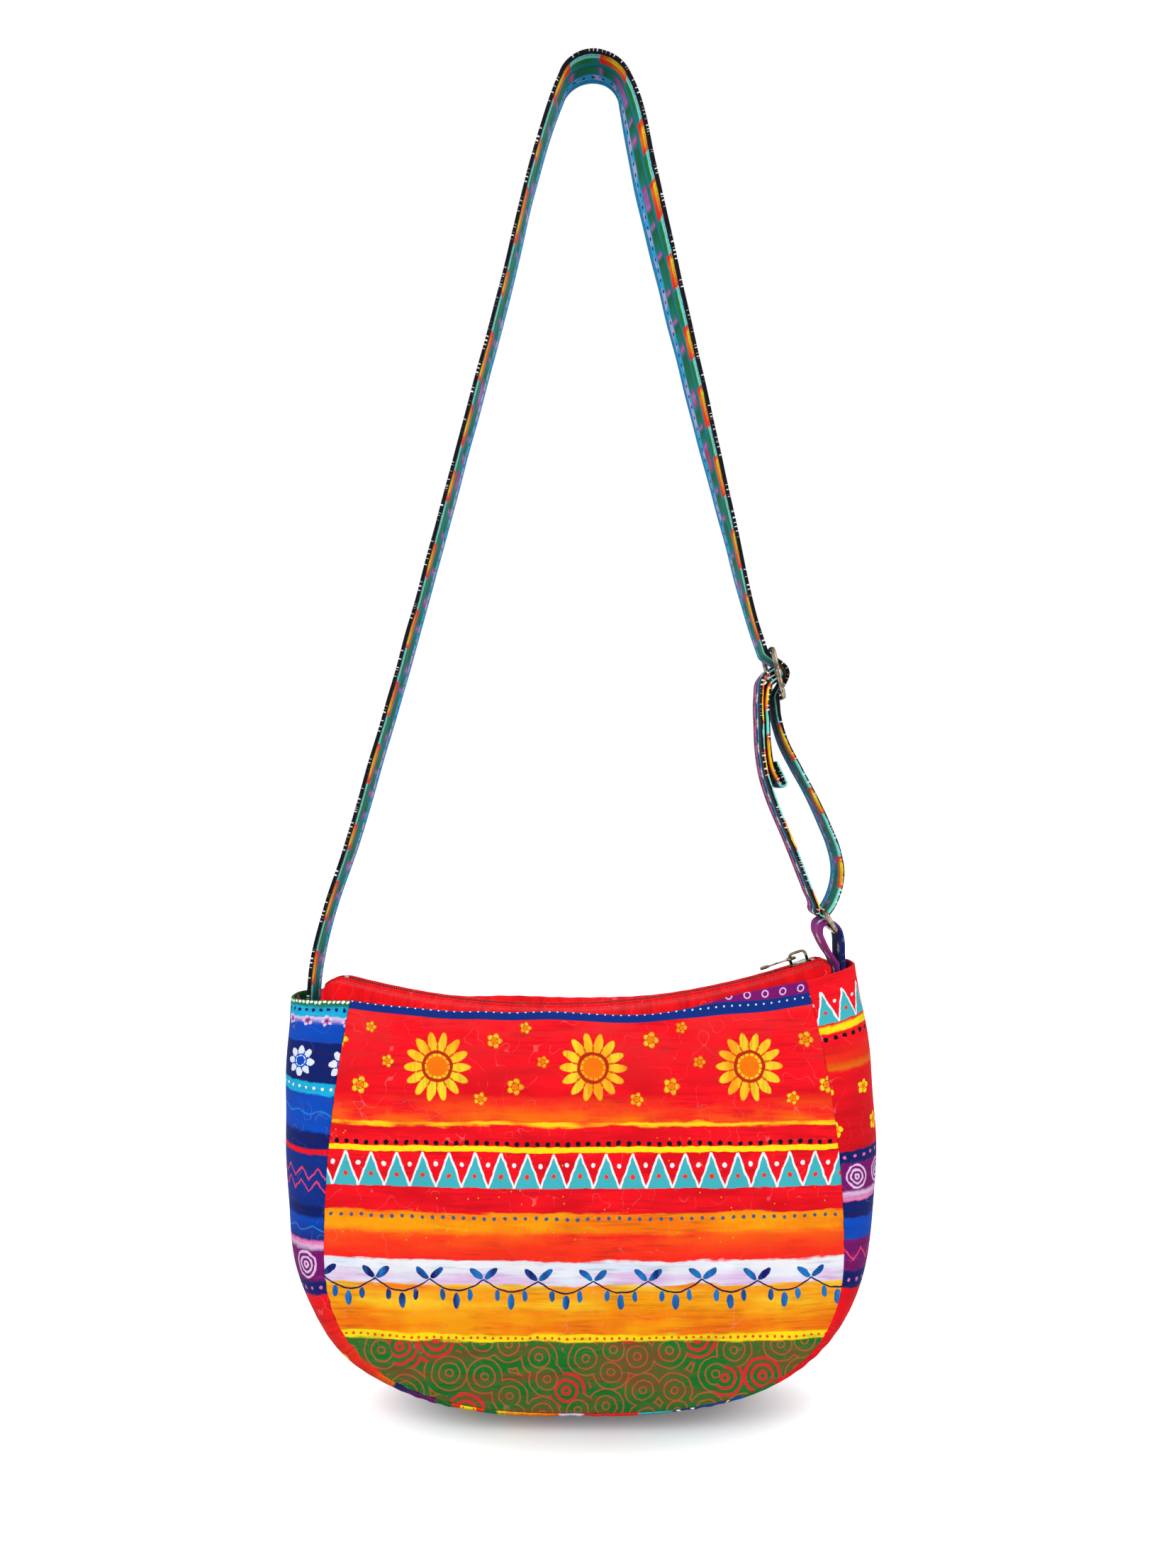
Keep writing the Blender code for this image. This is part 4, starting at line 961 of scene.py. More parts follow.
for line, pitch, radius, petals, petal_dye, heart_dye in (
    (0.0362, 0.0270, 0.0092, 8.0, PALE_BLUE, BLUE), (0.2010, 0.0300, 0.0048, 4.0, YELLOW, ORANGE),
    (0.0114, 0.0120, 0.0034, 5.0, LILAC, PURPLE), (0.2740, 0.0260, 0.0090, 8.0, ORANGE_RED, YELLOW),
    (0.3540, 0.0240, 0.0070, 6.0, YELLOW, ORANGE), (0.4100, 0.0270, 0.0090, 8.0, TURQUOISE, PINK),
    (0.4760, 0.0300, 0.0048, 4.0, YELLOW, ORANGE), (0.6060, 0.0300, 0.0050, 5.0, YELLOW, ORANGE),
    (0.6270, 0.0230, 0.0042, 5.0, YELLOW, ORANGE),
):
    shifted = strip_width + line * 2.7
    flower, heart, ring, vein, rim = blossom_row(shifted, strip_place, line, pitch, radius, petals)
    drawn_line = 1 - (vein + ring).below(0.5)
    gusset_dye = printed(gusset_dye, (flower, petal_dye), (drawn_line, heart_dye), (heart, heart_dye))
gusset_dye = rows_of(
    target_row, gusset_dye, strip_width, strip_place,
    (0.1490, 0.0230, 0.0076, 0.0027, LILAC), (0.5786, 0.0190, 0.0068, 0.0025, LILAC),
    (0.2430, 0.0230, 0.0082, 0.0027, PINK),
)
ROSE = dye(232, 64, 110)
MID_BLUE = dye(30, 120, 214)
gusset_dye = rows_of(
    zigzag_row, gusset_dye, strip_width, strip_place,
    (0.0990, 0.0105, 0.0062, 0.0007, ROSE), (0.1060, 0.0105, 0.0062, 0.0007, ROSE),
    (0.5360, 0.0105, 0.0062, 0.0007, ROSE), (0.0650, 0.0140, 0.0030, 0.0005, MID_BLUE),
    (0.1300, 0.0140, 0.0030, 0.0005, MID_BLUE), (0.4200, 0.0100, 0.0050, 0.0007, YELLOW),
)
for low, high in ((0.6656, 0.6836), (0.3920, 0.4060)):
    gusset_dye = bordered(gusset_dye, strip_width, strip_place, low, high, 0.0130)
finish_cloth(gusset_canvas, gusset_dye, *canvas_weave(strip_along, strip_across, CANVAS_THREAD))
finished(gusset_cloth, "bag", gusset_canvas, "gusset_canvas", "gusset")


# The lining: three pieces of plain cotton inside the canvas, where only an open zip shows them.

lining_cotton = bpy.data.materials.new("lining")
lining_cotton.use_nodes = True
lining_tree = lining_cotton.node_tree
lining_tree.nodes["Principled BSDF"].inputs["Roughness"].default_value = 0.85
lining_place = wired(lining_tree, "SeparateXYZ", (wired(lining_tree, "TexCoord", output="Object"),))
lining_x = lining_place + lining_place.also(1)
lining_z = lining_place.also(2)
lining_dye = brushed_dye(lining_x, lining_z, dye(124, 30, 36), dye(112, 24, 30))
finish_cloth(lining_cotton, lining_dye, *canvas_weave(lining_x, lining_z, 0.0006))
for node in ("lining_front", "lining_back", "lining_gusset"):
    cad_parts[node].data.materials.clear()
    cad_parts[node].data.materials.append(lining_cotton)


# The zip's cloth: a strip of plain red cotton on each side, folded beside the coil, stitched flat to
# the tape and then let down to the bag's rim. The closed zip sags between the bag's two ends.

ZIP_FROM_LEFT_CORNER = (-0.0055, 0.0080)
ZIP_FROM_RIGHT_CORNER = (0.0103, 0.0079)
ZIP_SAG = 0.0215
ZIP_TURN_LEFT = (0.012, 60.0)
ZIP_TURN_RIGHT = (0.0042, 62.0)
ARC_STEPS = 480
TURN_STEPS = 60
ZIP_CLOTH_STEPS = 300
TAPE_EDGE = 0.0135
TAPE_THICKNESS = 0.0008
TAPE_PLY = 0.0007
TAPE_COLUMNS = 12
TAPE_COIL_EDGE = 0.00012
ZIP_CENTRE_GAP = 0.0007
CLEARANCE = 0.0004
STRIP_CLOTH = 0.0009
STRIP_FOLD = 0.0058
STRIP_FOLD_RADIUS = 0.00035
STRIP_FOLD_RISE = {-1: 0.0021, 1: 0.0013}
STRIP_MARGIN = 0.0142
STRIP_PUFF = 0.0016
STRIP_FLAT_SHARE = 0.4
STRIP_BELOW_RIM = 0.002
STRIP_LEAST_DROP = 0.001
STRIP_FALL_POWER = 1.4
STRIP_FOLD_ROWS = 4
STRIP_PLY = 0.0005
STRIP_COLUMNS = 34
STRIP_SWELL = 0.0009
STRIP_SWELL_LENGTH = 0.048
STRIP_SWELL_EASE = (0.25, 0.15)
STRIP_RIPPLE = 0.00012
STRIP_RIPPLE_STEP = 0.0125
STRIP_FOLD_SPREAD = 0.0021
STITCHES_FROM_FOLD = 0.0024
STITCH_TUG = 0.00016
STITCH_TUG_SPREAD = 0.0012
STITCH_TUG_STEP = 0.0031
BACK_STRIP_SWELL = 0.0024
BACK_STRIP_SWELL_X = -0.022
BACK_STRIP_SWELL_SPREAD = 0.045
SOLID_CANVAS = 0.0016

zip_left = left_corner + ZIP_FROM_LEFT_CORNER
zip_right = right_corner + ZIP_FROM_RIGHT_CORNER
zip_chord = zip_right - zip_left
half_chord = np.linalg.norm(zip_chord) / 2
zip_radius = (half_chord**2 + ZIP_SAG**2) / (2 * ZIP_SAG)
chord_up = unit(np.array([-zip_chord[1], zip_chord[0]]))
zip_centre = (zip_left + zip_right) / 2 + chord_up * (zip_radius - ZIP_SAG)
zip_start, zip_end = [math.asin((end[0] - zip_centre[0]) / zip_radius) for end in (zip_left, zip_right)]


def turned_by(way, angles):
    """A direction x, z turned anticlockwise by each of these angles."""
    cos, sin = np.cos(angles), np.sin(angles)
    return stacked(cos * way[0] - sin * way[1], sin * way[0] + cos * way[1])


def zip_arc(angle):
    """Points of the zip's arc and the way up from the tape, at angles from straight down."""
    up = stacked(-np.sin(angle), np.cos(angle))
    return zip_centre - up * zip_radius, up


def zip_turned_end(angle, way, bend, degrees):
    """The line past one end of the arc, where it bends down round a small circle."""
    point, up = zip_arc(np.array(angle))
    ups = turned_by(up, -way * math.radians(degrees) * np.arange(1, TURN_STEPS + 1) / TURN_STEPS)
    return point - up * bend + ups * bend, ups


arc_places, arc_ups = zip_arc(np.linspace(zip_start, zip_end, ARC_STEPS + 1))
low_places, low_ups = zip_turned_end(zip_start, -1, *ZIP_TURN_LEFT)
high_places, high_ups = zip_turned_end(zip_end, 1, *ZIP_TURN_RIGHT)
zip_places = np.concatenate([low_places[::-1], arc_places, high_places])
zip_ups = np.concatenate([low_ups[::-1], arc_ups, high_ups])
zip_shares = np.linspace(0.0, 1.0, len(zip_places))


def zip_line(share, lift=0.0):
    """Points x, z at shares of the zip's line, lifted off the tape."""
    up = unit(between(share, zip_shares, zip_ups))
    return between(share, zip_shares, zip_places) + up * np.asarray(lift)[..., None]


def across_top(x):
    """Share of the way from the left corner to the right one."""
    return (x - left_corner[0]) / (right_corner[0] - left_corner[0])


def inside_depth(x):
    """Half the clear depth inside the bag's top: to the panel between the two corners, and past
    them to the gusset's superellipse."""
    wall = SOLID_CANVAS + CLEARANCE + STRIP_CLOTH / 2
    u = np.clip(across_top(x), 0.0, 1.0)
    panel = half_depth(0.0) + PANEL_BULGE * 4 * u * (1 - u) * (1 - PANEL_TOP_FLATNESS) - wall
    share = np.where(x < left_corner[0], 0.0, 1.0)
    out = np.maximum(np.maximum(left_corner[0] - x, x - right_corner[0]), 0.0)
    reach = np.minimum(out / (bulge(share) - wall), 0.999)
    power = gusset_power(share)
    return np.where(out > 0, (half_depth(share) - wall) * (1 - reach**power) ** (1 / power), panel)


def rim_height(x):
    """Height of the bag's top edge at x: the panels' hem, then the gusset's ends past the corners."""
    u = across_top(x)
    way = outward(np.array(1.0))
    past = right_corner[1] + (x - right_corner[0]) * way[1] / way[0]
    return np.where(u < 0, left_corner[1], np.where(u > 1, past, top_edge(np.clip(u, 0.0, 1.0))))


def strip_points(share, across, side):
    """Beside the zip: flat over the tape from its fold, then a low sine swell down to the rim, and
    a little more of it in the middle of the back strip."""
    place = zip_line(share, TAPE_THICKNESS / 2 + CLEARANCE + STRIP_CLOTH / 2 + 0 * share)
    x, z = place[..., 0], place[..., 1]
    puff, rim = STRIP_PUFF, rim_height(x)
    if side > 0:
        puff = puff + BACK_STRIP_SWELL * bump_at(x, BACK_STRIP_SWELL_X, BACK_STRIP_SWELL_SPREAD)
        rim = rim - back_rim_sag(np.clip(across_top(x), 0.0, 1.0))
    over = np.clip(across / STRIP_FLAT_SHARE, 0.0, 1.0)
    part = np.clip((across - STRIP_FLAT_SHARE) / (1 - STRIP_FLAT_SHARE), 0.0, 1.0)
    depth = STRIP_FOLD + (STRIP_MARGIN - STRIP_FOLD) * over + (inside_depth(x) - STRIP_MARGIN) * part
    far_z = np.minimum(rim - STRIP_BELOW_RIM, z - STRIP_LEAST_DROP)
    height = z + (far_z - z) * part**STRIP_FALL_POWER + puff * np.sin(math.pi * part)
    return stacked(x, depth, height)


zip_steps = np.linspace(0.0, 1.0, ZIP_CLOTH_STEPS)
along_zip = travelled(zip_line(zip_steps))[:, None]


def zip_strip(name, side, seed):
    """Red strip with its fold beside the coil turned under, and soft waves along it."""
    share, across = grid(zip_steps, crowded(STRIP_COLUMNS, 0.4))
    points = strip_points(share, across, side)
    along = along_zip + 0 * across
    width = np.stack([travelled(row) for row in points])
    from_flat, from_rim = [
        np.clip(away / ease, 0.0, 1.0)
        for away, ease in zip((across - STRIP_FLAT_SHARE, 1.0 - across), STRIP_SWELL_EASE)
    ]
    slack = from_flat * from_rim
    waves = STRIP_SWELL * cloth_waves(along, width, STRIP_SWELL_LENGTH, seed)
    waves = (waves + STRIP_RIPPLE * rippled(along, STRIP_RIPPLE_STEP)) * slack
    row_tug = bump_at(width, STITCHES_FROM_FOLD, STITCH_TUG_SPREAD) * rippled(along, STITCH_TUG_STEP)
    raised_fold = STRIP_FOLD_RISE[side] * bump_at(width, 0.0, STRIP_FOLD_SPREAD)
    points[..., 2] += waves + STITCH_TUG * row_tug + raised_fold
    fold = points[:, :1].repeat(STRIP_FOLD_ROWS, axis=1)
    turn = np.linspace(math.pi, math.pi / 4, STRIP_FOLD_ROWS)
    fold[..., 1] += STRIP_FOLD_RADIUS * (0.7 - np.sin(turn))
    fold[..., 2] += STRIP_FOLD_RADIUS * (np.cos(turn) - 1)
    points = np.concatenate([fold, points], axis=1)
    fold_width = width[:, :1] - STRIP_FOLD_RADIUS * np.arange(STRIP_FOLD_ROWS, 0, -1)
    width = np.concatenate([fold_width, width], axis=1)
    points[..., 1] *= side
    piece = surface(name, points, stacked(along_zip, width), turned=side > 0)
    return with_thickness(piece, STRIP_PLY, 0.0)


@shader_group("mask")
def stitch_row(along, across, line, pitch):
    """Machine stitches: a dash in each cell on the line."""
    near = (across - line).size().below(0.00038, 0.00012)
    return near * along.inside_cell(pitch).size().below(pitch * 0.36)


red_cotton, red_along, red_across = new_cloth_material("red_cotton")
red_height, red_shade = canvas_weave(red_along, red_across, 0.0005)
fold_seam = stitch_row(red_along, red_across, 0.0026, 0.0022)
red_dye = brushed_dye(red_across, red_along, dye(234, 4, 16), dye(206, 2, 14))
red_dye = laid_over(fold_seam * 0.45, dye(248, 70, 78), red_dye)
finish_cloth(red_cotton, red_dye, red_height - fold_seam * 2.0, red_shade, 0.00008)

tape_twill, tape_along, tape_across = new_cloth_material("zip_tape")
twill = (tape_along + tape_across).wave(0.0009) * 0.5 + 0.5
tape_shade = twill * 0.14 + clouds(tape_along, tape_across, 60.0) * 0.1 + 0.8
tape_dye = brushed_dye(tape_along, tape_across, dye(168, 4, 14), dye(140, 2, 12))
finish_cloth(tape_twill, tape_dye, twill, tape_shade, 0.0001)


def zip_tape(name, side):
    """Woven tape from just beside the zip's middle to its outer edge, with a thicker coil edge."""
    share, across = grid(zip_steps, np.linspace(0.0, 1.0, TAPE_COLUMNS))
    place = zip_line(share, TAPE_COIL_EDGE * bump_at(across, 0.06, 0.06))
    depth = ZIP_CENTRE_GAP + (TAPE_EDGE - ZIP_CENTRE_GAP) * across
    points = stacked(place[..., 0], side * depth, place[..., 1])
    return with_thickness(surface(name, points, stacked(along_zip, depth), turned=side > 0), TAPE_PLY, 0.0)


for label, side in (("front", -1), ("back", 1)):
    strip = zip_strip("strip_cloth_" + label, side, 61 + side)
    tape = zip_tape("tape_" + label, side)
    finished(strip, "bag", red_cotton, "red_cotton", "zip_strip_" + label)
    finished(tape, "bag", tape_twill, "zip_tape", "zip_tape_" + label)


# The zip's coil: one spiral of nylon thread on each tape, sewn down along the zip's middle.

COIL_WIDTH = 0.0026
COIL_HEIGHT = 0.0022
COIL_PITCH = 0.00135
COIL_THREAD = 0.00036
COIL_STEPS = 10
STOP_LENGTH = 0.0028
STOP_HEIGHT = 0.0024


def tidied(piece):
    """Piece with its doubled points merged and its faces pointing outwards."""
    welded = bmesh.new()
    welded.from_mesh(piece.data)
    bmesh.ops.remove_doubles(welded, verts=welded.verts, dist=1e-6)
    bmesh.ops.recalc_face_normals(welded, faces=welded.faces)
    welded.to_mesh(piece.data)
    welded.free()
    return piece


def tube(name, centres, radius, sides=8, closed=False, flat=(1.0, 1.0)):
    """Round tube along a line of points. Each ring stands square to the line, on two directions
    that turn with it; flat squeezes the ring in those two directions."""
    if closed:
        along = unit(np.roll(centres, -1, 0) - np.roll(centres, 1, 0))
    else:
        along = unit(np.gradient(centres, axis=0))
    helper = np.where(np.abs(along[:, 1:2]) < 0.8, [[0.0, 1.0, 0.0]], [[1.0, 0.0, 0.0]])
    first = unit(np.cross(helper, along))
    second = np.cross(along, first)
    turn = np.linspace(0.0, 2 * math.pi, sides, endpoint=False)[:, None]
    reach = np.broadcast_to(radius, len(centres))[:, None, None]
    ring = first[:, None] * np.cos(turn) * flat[0] + second[:, None] * np.sin(turn) * flat[1]
    points = centres[:, None] + ring * reach
    if closed:
        points = np.concatenate([points, points[:1]])
    round_tube = np.linspace(0.0, 2 * math.pi * float(np.max(radius)), sides + 1)
    uv = np.stack(grid(travelled(points[:, 0]), round_tube), -1)
    piece = surface(name, points, uv, round_section=True, closed_ends=not closed)
    return tidied(piece) if closed else piece


coil_nylon, coil_along, coil_around = new_cloth_material("zip_coil")
coil_inputs = coil_nylon.node_tree.nodes["Principled BSDF"].inputs
coil_inputs["Specular IOR Level"].default_value = 0.25
feed(coil_inputs["Base Color"], brushed_dye(coil_along, coil_around, dye(130, 2, 10), dye(158, 4, 14)))
feed(coil_inputs["Roughness"], clouds(coil_along, coil_around, 300.0) * 0.2 + 0.42)

coil_last = zip_end - (STOP_LENGTH + 2 * CLEARANCE) / zip_radius
coil_turns = round((coil_last - zip_start) * zip_radius / COIL_PITCH)
coil_points = coil_turns * COIL_STEPS + 1
tape_top = TAPE_THICKNESS / 2 + CLEARANCE
for label, side, first_turn in (("front", -1, 0.0), ("back", 1, math.pi)):
    turn = first_turn + np.linspace(0.0, 2 * math.pi * coil_turns, coil_points)
    centre, up = zip_arc(np.linspace(zip_start, coil_last, coil_points))
    rise = tape_top + COIL_HEIGHT / 2 + (COIL_HEIGHT / 2 - COIL_THREAD) * np.sin(turn)
    place = centre + up * rise[:, None]
    depth = side * (ZIP_CENTRE_GAP + COIL_WIDTH / 2 + (COIL_WIDTH / 2 - COIL_THREAD) * np.cos(turn))
    coil = tube("coil_" + label, stacked(place[:, 0], depth, place[:, 1]), COIL_THREAD, sides=6)
    finished(coil, "bag", coil_nylon, "zip_coil", "zip_coil_" + label)


# The metal of all fittings: cast and plated in antique nickel, with soft patches of tarnish and a fine grain.


@shader_group("tarnish", "grain")
def worn_plating(across, up, along):
    """Tarnish and grain: two noises at different scales for the tone and the shine."""
    place = wired(across.tree, "CombineXYZ", (across, up, along))
    stains, grain = [
        wired(across.tree, "TexNoise", {"Vector": place, "Scale": scale, "Detail": detail})
        for scale, detail in ((240.0, 4.0), (1900.0, 2.0))
    ]
    return stains.below(0.48, 0.14), grain


nickel = bpy.data.materials.new("antique_nickel")
nickel.use_nodes = True
nickel_tree = nickel.node_tree
nickel_inputs = nickel_tree.nodes["Principled BSDF"].inputs
nickel_inputs["Metallic"].default_value = 1.0
nickel_place = wired(nickel_tree, "SeparateXYZ", (wired(nickel_tree, "TexCoord", output="Object"),))
tarnish, metal_grain = worn_plating(nickel_place, nickel_place.also(2), nickel_place.also(1))
nickel_relief = wired(nickel_tree, "Bump", {"Height": metal_grain, "Strength": 0.25, "Distance": 0.00005})
feed(nickel_inputs["Base Color"], laid_over(tarnish, dye(70, 58, 44), dye(148, 136, 118)))
feed(nickel_inputs["Roughness"], tarnish * 0.14 + metal_grain * 0.08 + 0.10)
feed(nickel_inputs["Normal"], nickel_relief)


def in_zip_frame(points, angle):
    """Points given along the zip, across it and up from the tape, placed at an angle of its arc."""
    place, up = zip_arc(np.array(angle))
    along, across, lift = np.moveaxis(np.asarray(points), -1, 0)
    return stacked(place[0] + along * up[1] + lift * up[0], across, place[1] - along * up[0] + lift * up[1])


def pillow(name, low, high, power, angle, rows=14, columns=20, waist=0.0):
    """Rounded block between two corners: a superellipsoid, optionally narrowed at mid length."""
    low, high = np.asarray(low), np.asarray(high)
    round_block = np.linspace(0.0, 2 * math.pi, columns, endpoint=False)
    lat, lon = grid(np.linspace(-math.pi / 2, math.pi / 2, rows), round_block)
    bend = 2 / power
    x = signed_power(np.cos(lat), bend) * signed_power(np.cos(lon), bend)
    y = signed_power(np.cos(lat), bend) * signed_power(np.sin(lon), bend)
    y = y * (1 - waist * bump_at(x, 0.0, 0.45))
    points = (low + high) / 2 + stacked(x, y, signed_power(np.sin(lat), bend)) * (high - low) / 2
    uv = np.stack(grid(np.linspace(0, 0.01, rows), np.linspace(0, 0.01, columns + 1)), -1)
    return tidied(surface(name, in_zip_frame(points, angle), uv, round_section=True))


def stop_clamp(name, near, far, angle, waist=0.0):
    """Small metal clamp over the coil, between two depths."""
    low = (-STOP_LENGTH / 2, near, tape_top)
    return pillow(name, low, (STOP_LENGTH / 2, far, tape_top + STOP_HEIGHT), 4.0, angle, waist=waist)


stop_outer = ZIP_CENTRE_GAP + COIL_WIDTH
for label, near, far in (("front", -stop_outer, -ZIP_CENTRE_GAP), ("back", ZIP_CENTRE_GAP, stop_outer)):
    clamp = stop_clamp("top_stop_" + label, near, far, zip_end - STOP_LENGTH / 2 / zip_radius)
    finished(clamp, "bag", nickel, "nickel", "zip_stop_top_" + label)
bottom_stop_angle = zip_start - (STOP_LENGTH / 2 + CLEARANCE) / zip_radius
clamp = stop_clamp("bottom_stop", -stop_outer, stop_outer, bottom_stop_angle, 0.12)
finished(clamp, "bag", nickel, "nickel", "zip_stop_bottom")


# The slider: two rounded plates held apart by a nose post, flanges that guide the coil, and a bridge
# of thick wire on top. The pull tab hangs on the bridge.

SLIDER_LENGTH = 0.0128
SLIDER_PLATE = 0.0011
SLIDER_FLANGE = 0.0008
SLIDER_TRAVEL_GAP = 0.0005
BRIDGE_WIRE = 0.0018
BRIDGE_SPAN = 0.0100
BRIDGE_RISE = 0.0056
BRIDGE_BEND = 0.0026

slider_angle = zip_end - (STOP_LENGTH + SLIDER_TRAVEL_GAP + SLIDER_LENGTH / 2) / zip_radius
half_slider = SLIDER_LENGTH / 2
slider_width = stop_outer + SLIDER_TRAVEL_GAP + SLIDER_FLANGE
plate_below = -(TAPE_THICKNESS / 2 + SLIDER_TRAVEL_GAP)
plate_above = tape_top + COIL_HEIGHT + SLIDER_TRAVEL_GAP
bridge_base = plate_above + SLIDER_PLATE


def slider_block(name, x, y, z, power, **shape):
    """Rounded block of the slider, from its two ends in each direction."""
    return pillow(name, *np.transpose([x, y, z]), power, slider_angle, **shape)


plate_side = (-slider_width, slider_width)
plate_shape = {"power": 3.6, "rows": 26, "columns": 60, "waist": 0.10}
upper_length = (-half_slider, half_slider)
lower_length = (-half_slider * 0.9, half_slider * 0.9)
upper_height = (plate_above, bridge_base)
lower_height = (plate_below - SLIDER_PLATE, plate_below)
post_length = (half_slider * 0.45, half_slider * 0.85)
post_side = (-ZIP_CENTRE_GAP * 0.5, ZIP_CENTRE_GAP * 0.5)
post_height = (plate_below - SLIDER_PLATE / 2, plate_above + SLIDER_PLATE / 2)
slider_parts = [
    slider_block("slider_upper_plate", upper_length, plate_side, upper_height, **plate_shape),
    slider_block("slider_lower_plate", lower_length, plate_side, lower_height, **plate_shape),
    slider_block("slider_post", post_length, post_side, post_height, 5.0),
]
flange_length = (-half_slider * 0.82, half_slider * 0.82)
flange_height = (TAPE_THICKNESS / 2 + SLIDER_TRAVEL_GAP, plate_above + SLIDER_PLATE * 0.6)
for label, side in (("front", -1), ("back", 1)):
    ends = sorted((side * (slider_width - SLIDER_FLANGE), side * slider_width))
    flange = slider_block("slider_flange_" + label, flange_length, ends, flange_height, 5.0, columns=28)
    slider_parts.append(flange)
bridge_turn = np.radians([*np.linspace(180, 90, 9), *np.linspace(90, 0, 9)])
bridge_x = np.repeat([-1, 1], 9) * (BRIDGE_SPAN / 2 - BRIDGE_BEND) + BRIDGE_BEND * np.cos(bridge_turn)
bridge_top = bridge_base + BRIDGE_RISE - BRIDGE_BEND * (1 - np.sin(bridge_turn))
bridge_foot = bridge_base - SLIDER_PLATE / 2
bridge_left, bridge_right = [(x, 0.0, bridge_foot) for x in (-BRIDGE_SPAN / 2, BRIDGE_SPAN / 2)]
bridge_line = np.concatenate([[bridge_left], stacked(bridge_x, 0.0, bridge_top), [bridge_right]])
bridge_line = in_zip_frame(bridge_line, slider_angle)
slider_parts.append(tube("slider_bridge", bridge_line, BRIDGE_WIRE / 2, sides=16))
for piece in slider_parts:
    finished(piece, "slider", nickel, "nickel", "zip_slider")


# The pull tab: a flat cast bar with an eye at the bridge, a slim neck and a wider end with a hole.

PULL_LENGTH = 0.0215
PULL_THICKNESS = 0.0015
PULL_EYE_WIDTH = 0.0068
PULL_EYE_OVER = 0.0004
PULL_POWER = 3.4
PULL_RING_STEPS = 48
PULL_TIP_LENGTH = 0.0058
PULL_TIP_WIDTH = 0.0058
PULL_TIP_HOLE = 0.00085
PULL_TIP_HOLE_OFFSET = 0.0004
PULL_NECK_WIDTH = 0.0042
PULL_NECK_IN_TIP = 0.0012
PULL_NECK_FROM_EYE = 0.0001
PULL_NECK_STEPS = 30
PULL_NECK_WAIST = 0.80
PULL_NECK_FLARE = 0.35
PULL_NECK_FLATNESS = 0.34

pull_eye_far = BRIDGE_BEND + BRIDGE_WIRE / 2 + 2 * CLEARANCE
pull_place = (-(BRIDGE_SPAN / 2 - BRIDGE_BEND), 0.0, bridge_base + BRIDGE_RISE - BRIDGE_BEND)


def on_pull(points):
    """Points given from the middle of the bridge's bend, where the pull hangs."""
    return in_zip_frame(np.asarray(points) + pull_place, slider_angle)


def rounded_bar(name, outline, hole):
    """Flat bar with one hole: the outline and the hole are rings of as many points each, and the
    section between them is domed, with the thickness times the fourth root of 1 - t to the 4th."""
    t = np.linspace(-1.0, 1.0, 13)[:, None]
    share = (1 + t[..., None]) / 2
    ring = outline * (1 - share) + hole * share
    top = stacked(ring[..., 0], ring[..., 1], PULL_THICKNESS / 2 * (1 - t**4) ** 0.25)
    bottom = top[::-1][1:-1] * [1.0, 1.0, -1.0]
    points = np.concatenate([top, bottom, top[:1]]).swapaxes(0, 1)
    points = on_pull(np.concatenate([points, points[:1]]))
    uv = np.stack(grid(np.linspace(0, 0.02, points.shape[0]), np.linspace(0, 0.01, points.shape[1])), -1)
    return tidied(surface(name, points, uv))


def oval(middle, half_long, half_wide, long_power=2.0, wide_power=2.0):
    """Ring of points round a superellipse that lies along the pull."""
    around = np.linspace(0.0, 2 * math.pi, PULL_RING_STEPS, endpoint=False)
    along = middle + half_long * signed_power(np.cos(around), 2 / long_power)
    return stacked(along, half_wide * signed_power(np.sin(around), 2 / wide_power))


half_thick = PULL_THICKNESS / 2
eye_half = (half_thick + pull_eye_far) / 2 + PULL_EYE_OVER
eye_outline = oval((half_thick - pull_eye_far) / 2, eye_half, PULL_EYE_WIDTH / 2, PULL_POWER, PULL_POWER)
hole_half = (pull_eye_far - half_thick) / 2
hole_wide = BRIDGE_WIRE / 2 + CLEARANCE
eye_hole = oval(-(half_thick + pull_eye_far) / 2, hole_half, hole_wide, PULL_POWER, PULL_POWER)
tip_middle = -PULL_LENGTH + PULL_TIP_LENGTH / 2
tip_outline = oval(tip_middle, PULL_TIP_LENGTH / 2, PULL_TIP_WIDTH / 2, wide_power=PULL_POWER)
tip_hole = oval(tip_middle - PULL_TIP_HOLE_OFFSET, PULL_TIP_HOLE, PULL_TIP_HOLE)
neck_end = -PULL_LENGTH + PULL_TIP_LENGTH - PULL_NECK_IN_TIP
neck_x = np.linspace(-pull_eye_far - PULL_NECK_FROM_EYE, neck_end, PULL_NECK_STEPS)
neck_share = np.linspace(0.0, 1.0, PULL_NECK_STEPS)
neck_half = PULL_NECK_WIDTH / 2 * (PULL_NECK_WAIST + PULL_NECK_FLARE * (2 * neck_share - 1) ** 4)
eye = rounded_bar("pull_eye", eye_outline, eye_hole)
tip = rounded_bar("pull_tip", tip_outline, tip_hole)
neck_line = on_pull(stacked(neck_x, 0.0, 0.0))
neck = tube("pull_neck", neck_line, neck_half, sides=20, flat=(PULL_NECK_FLATNESS, 1.0))
for piece in (eye, neck, tip):
    finished(piece, "pull", nickel, "nickel", "zip_pull")


# The strap: one long band, a canvas strip folded round a stiff core so that its two edges meet at
# the front, and topstitched along both edges. It is sewn in at the bag's left end, goes over the
# peg, through the buckle, round the ring and back to the buckle's middle bar, where its end is sewn.

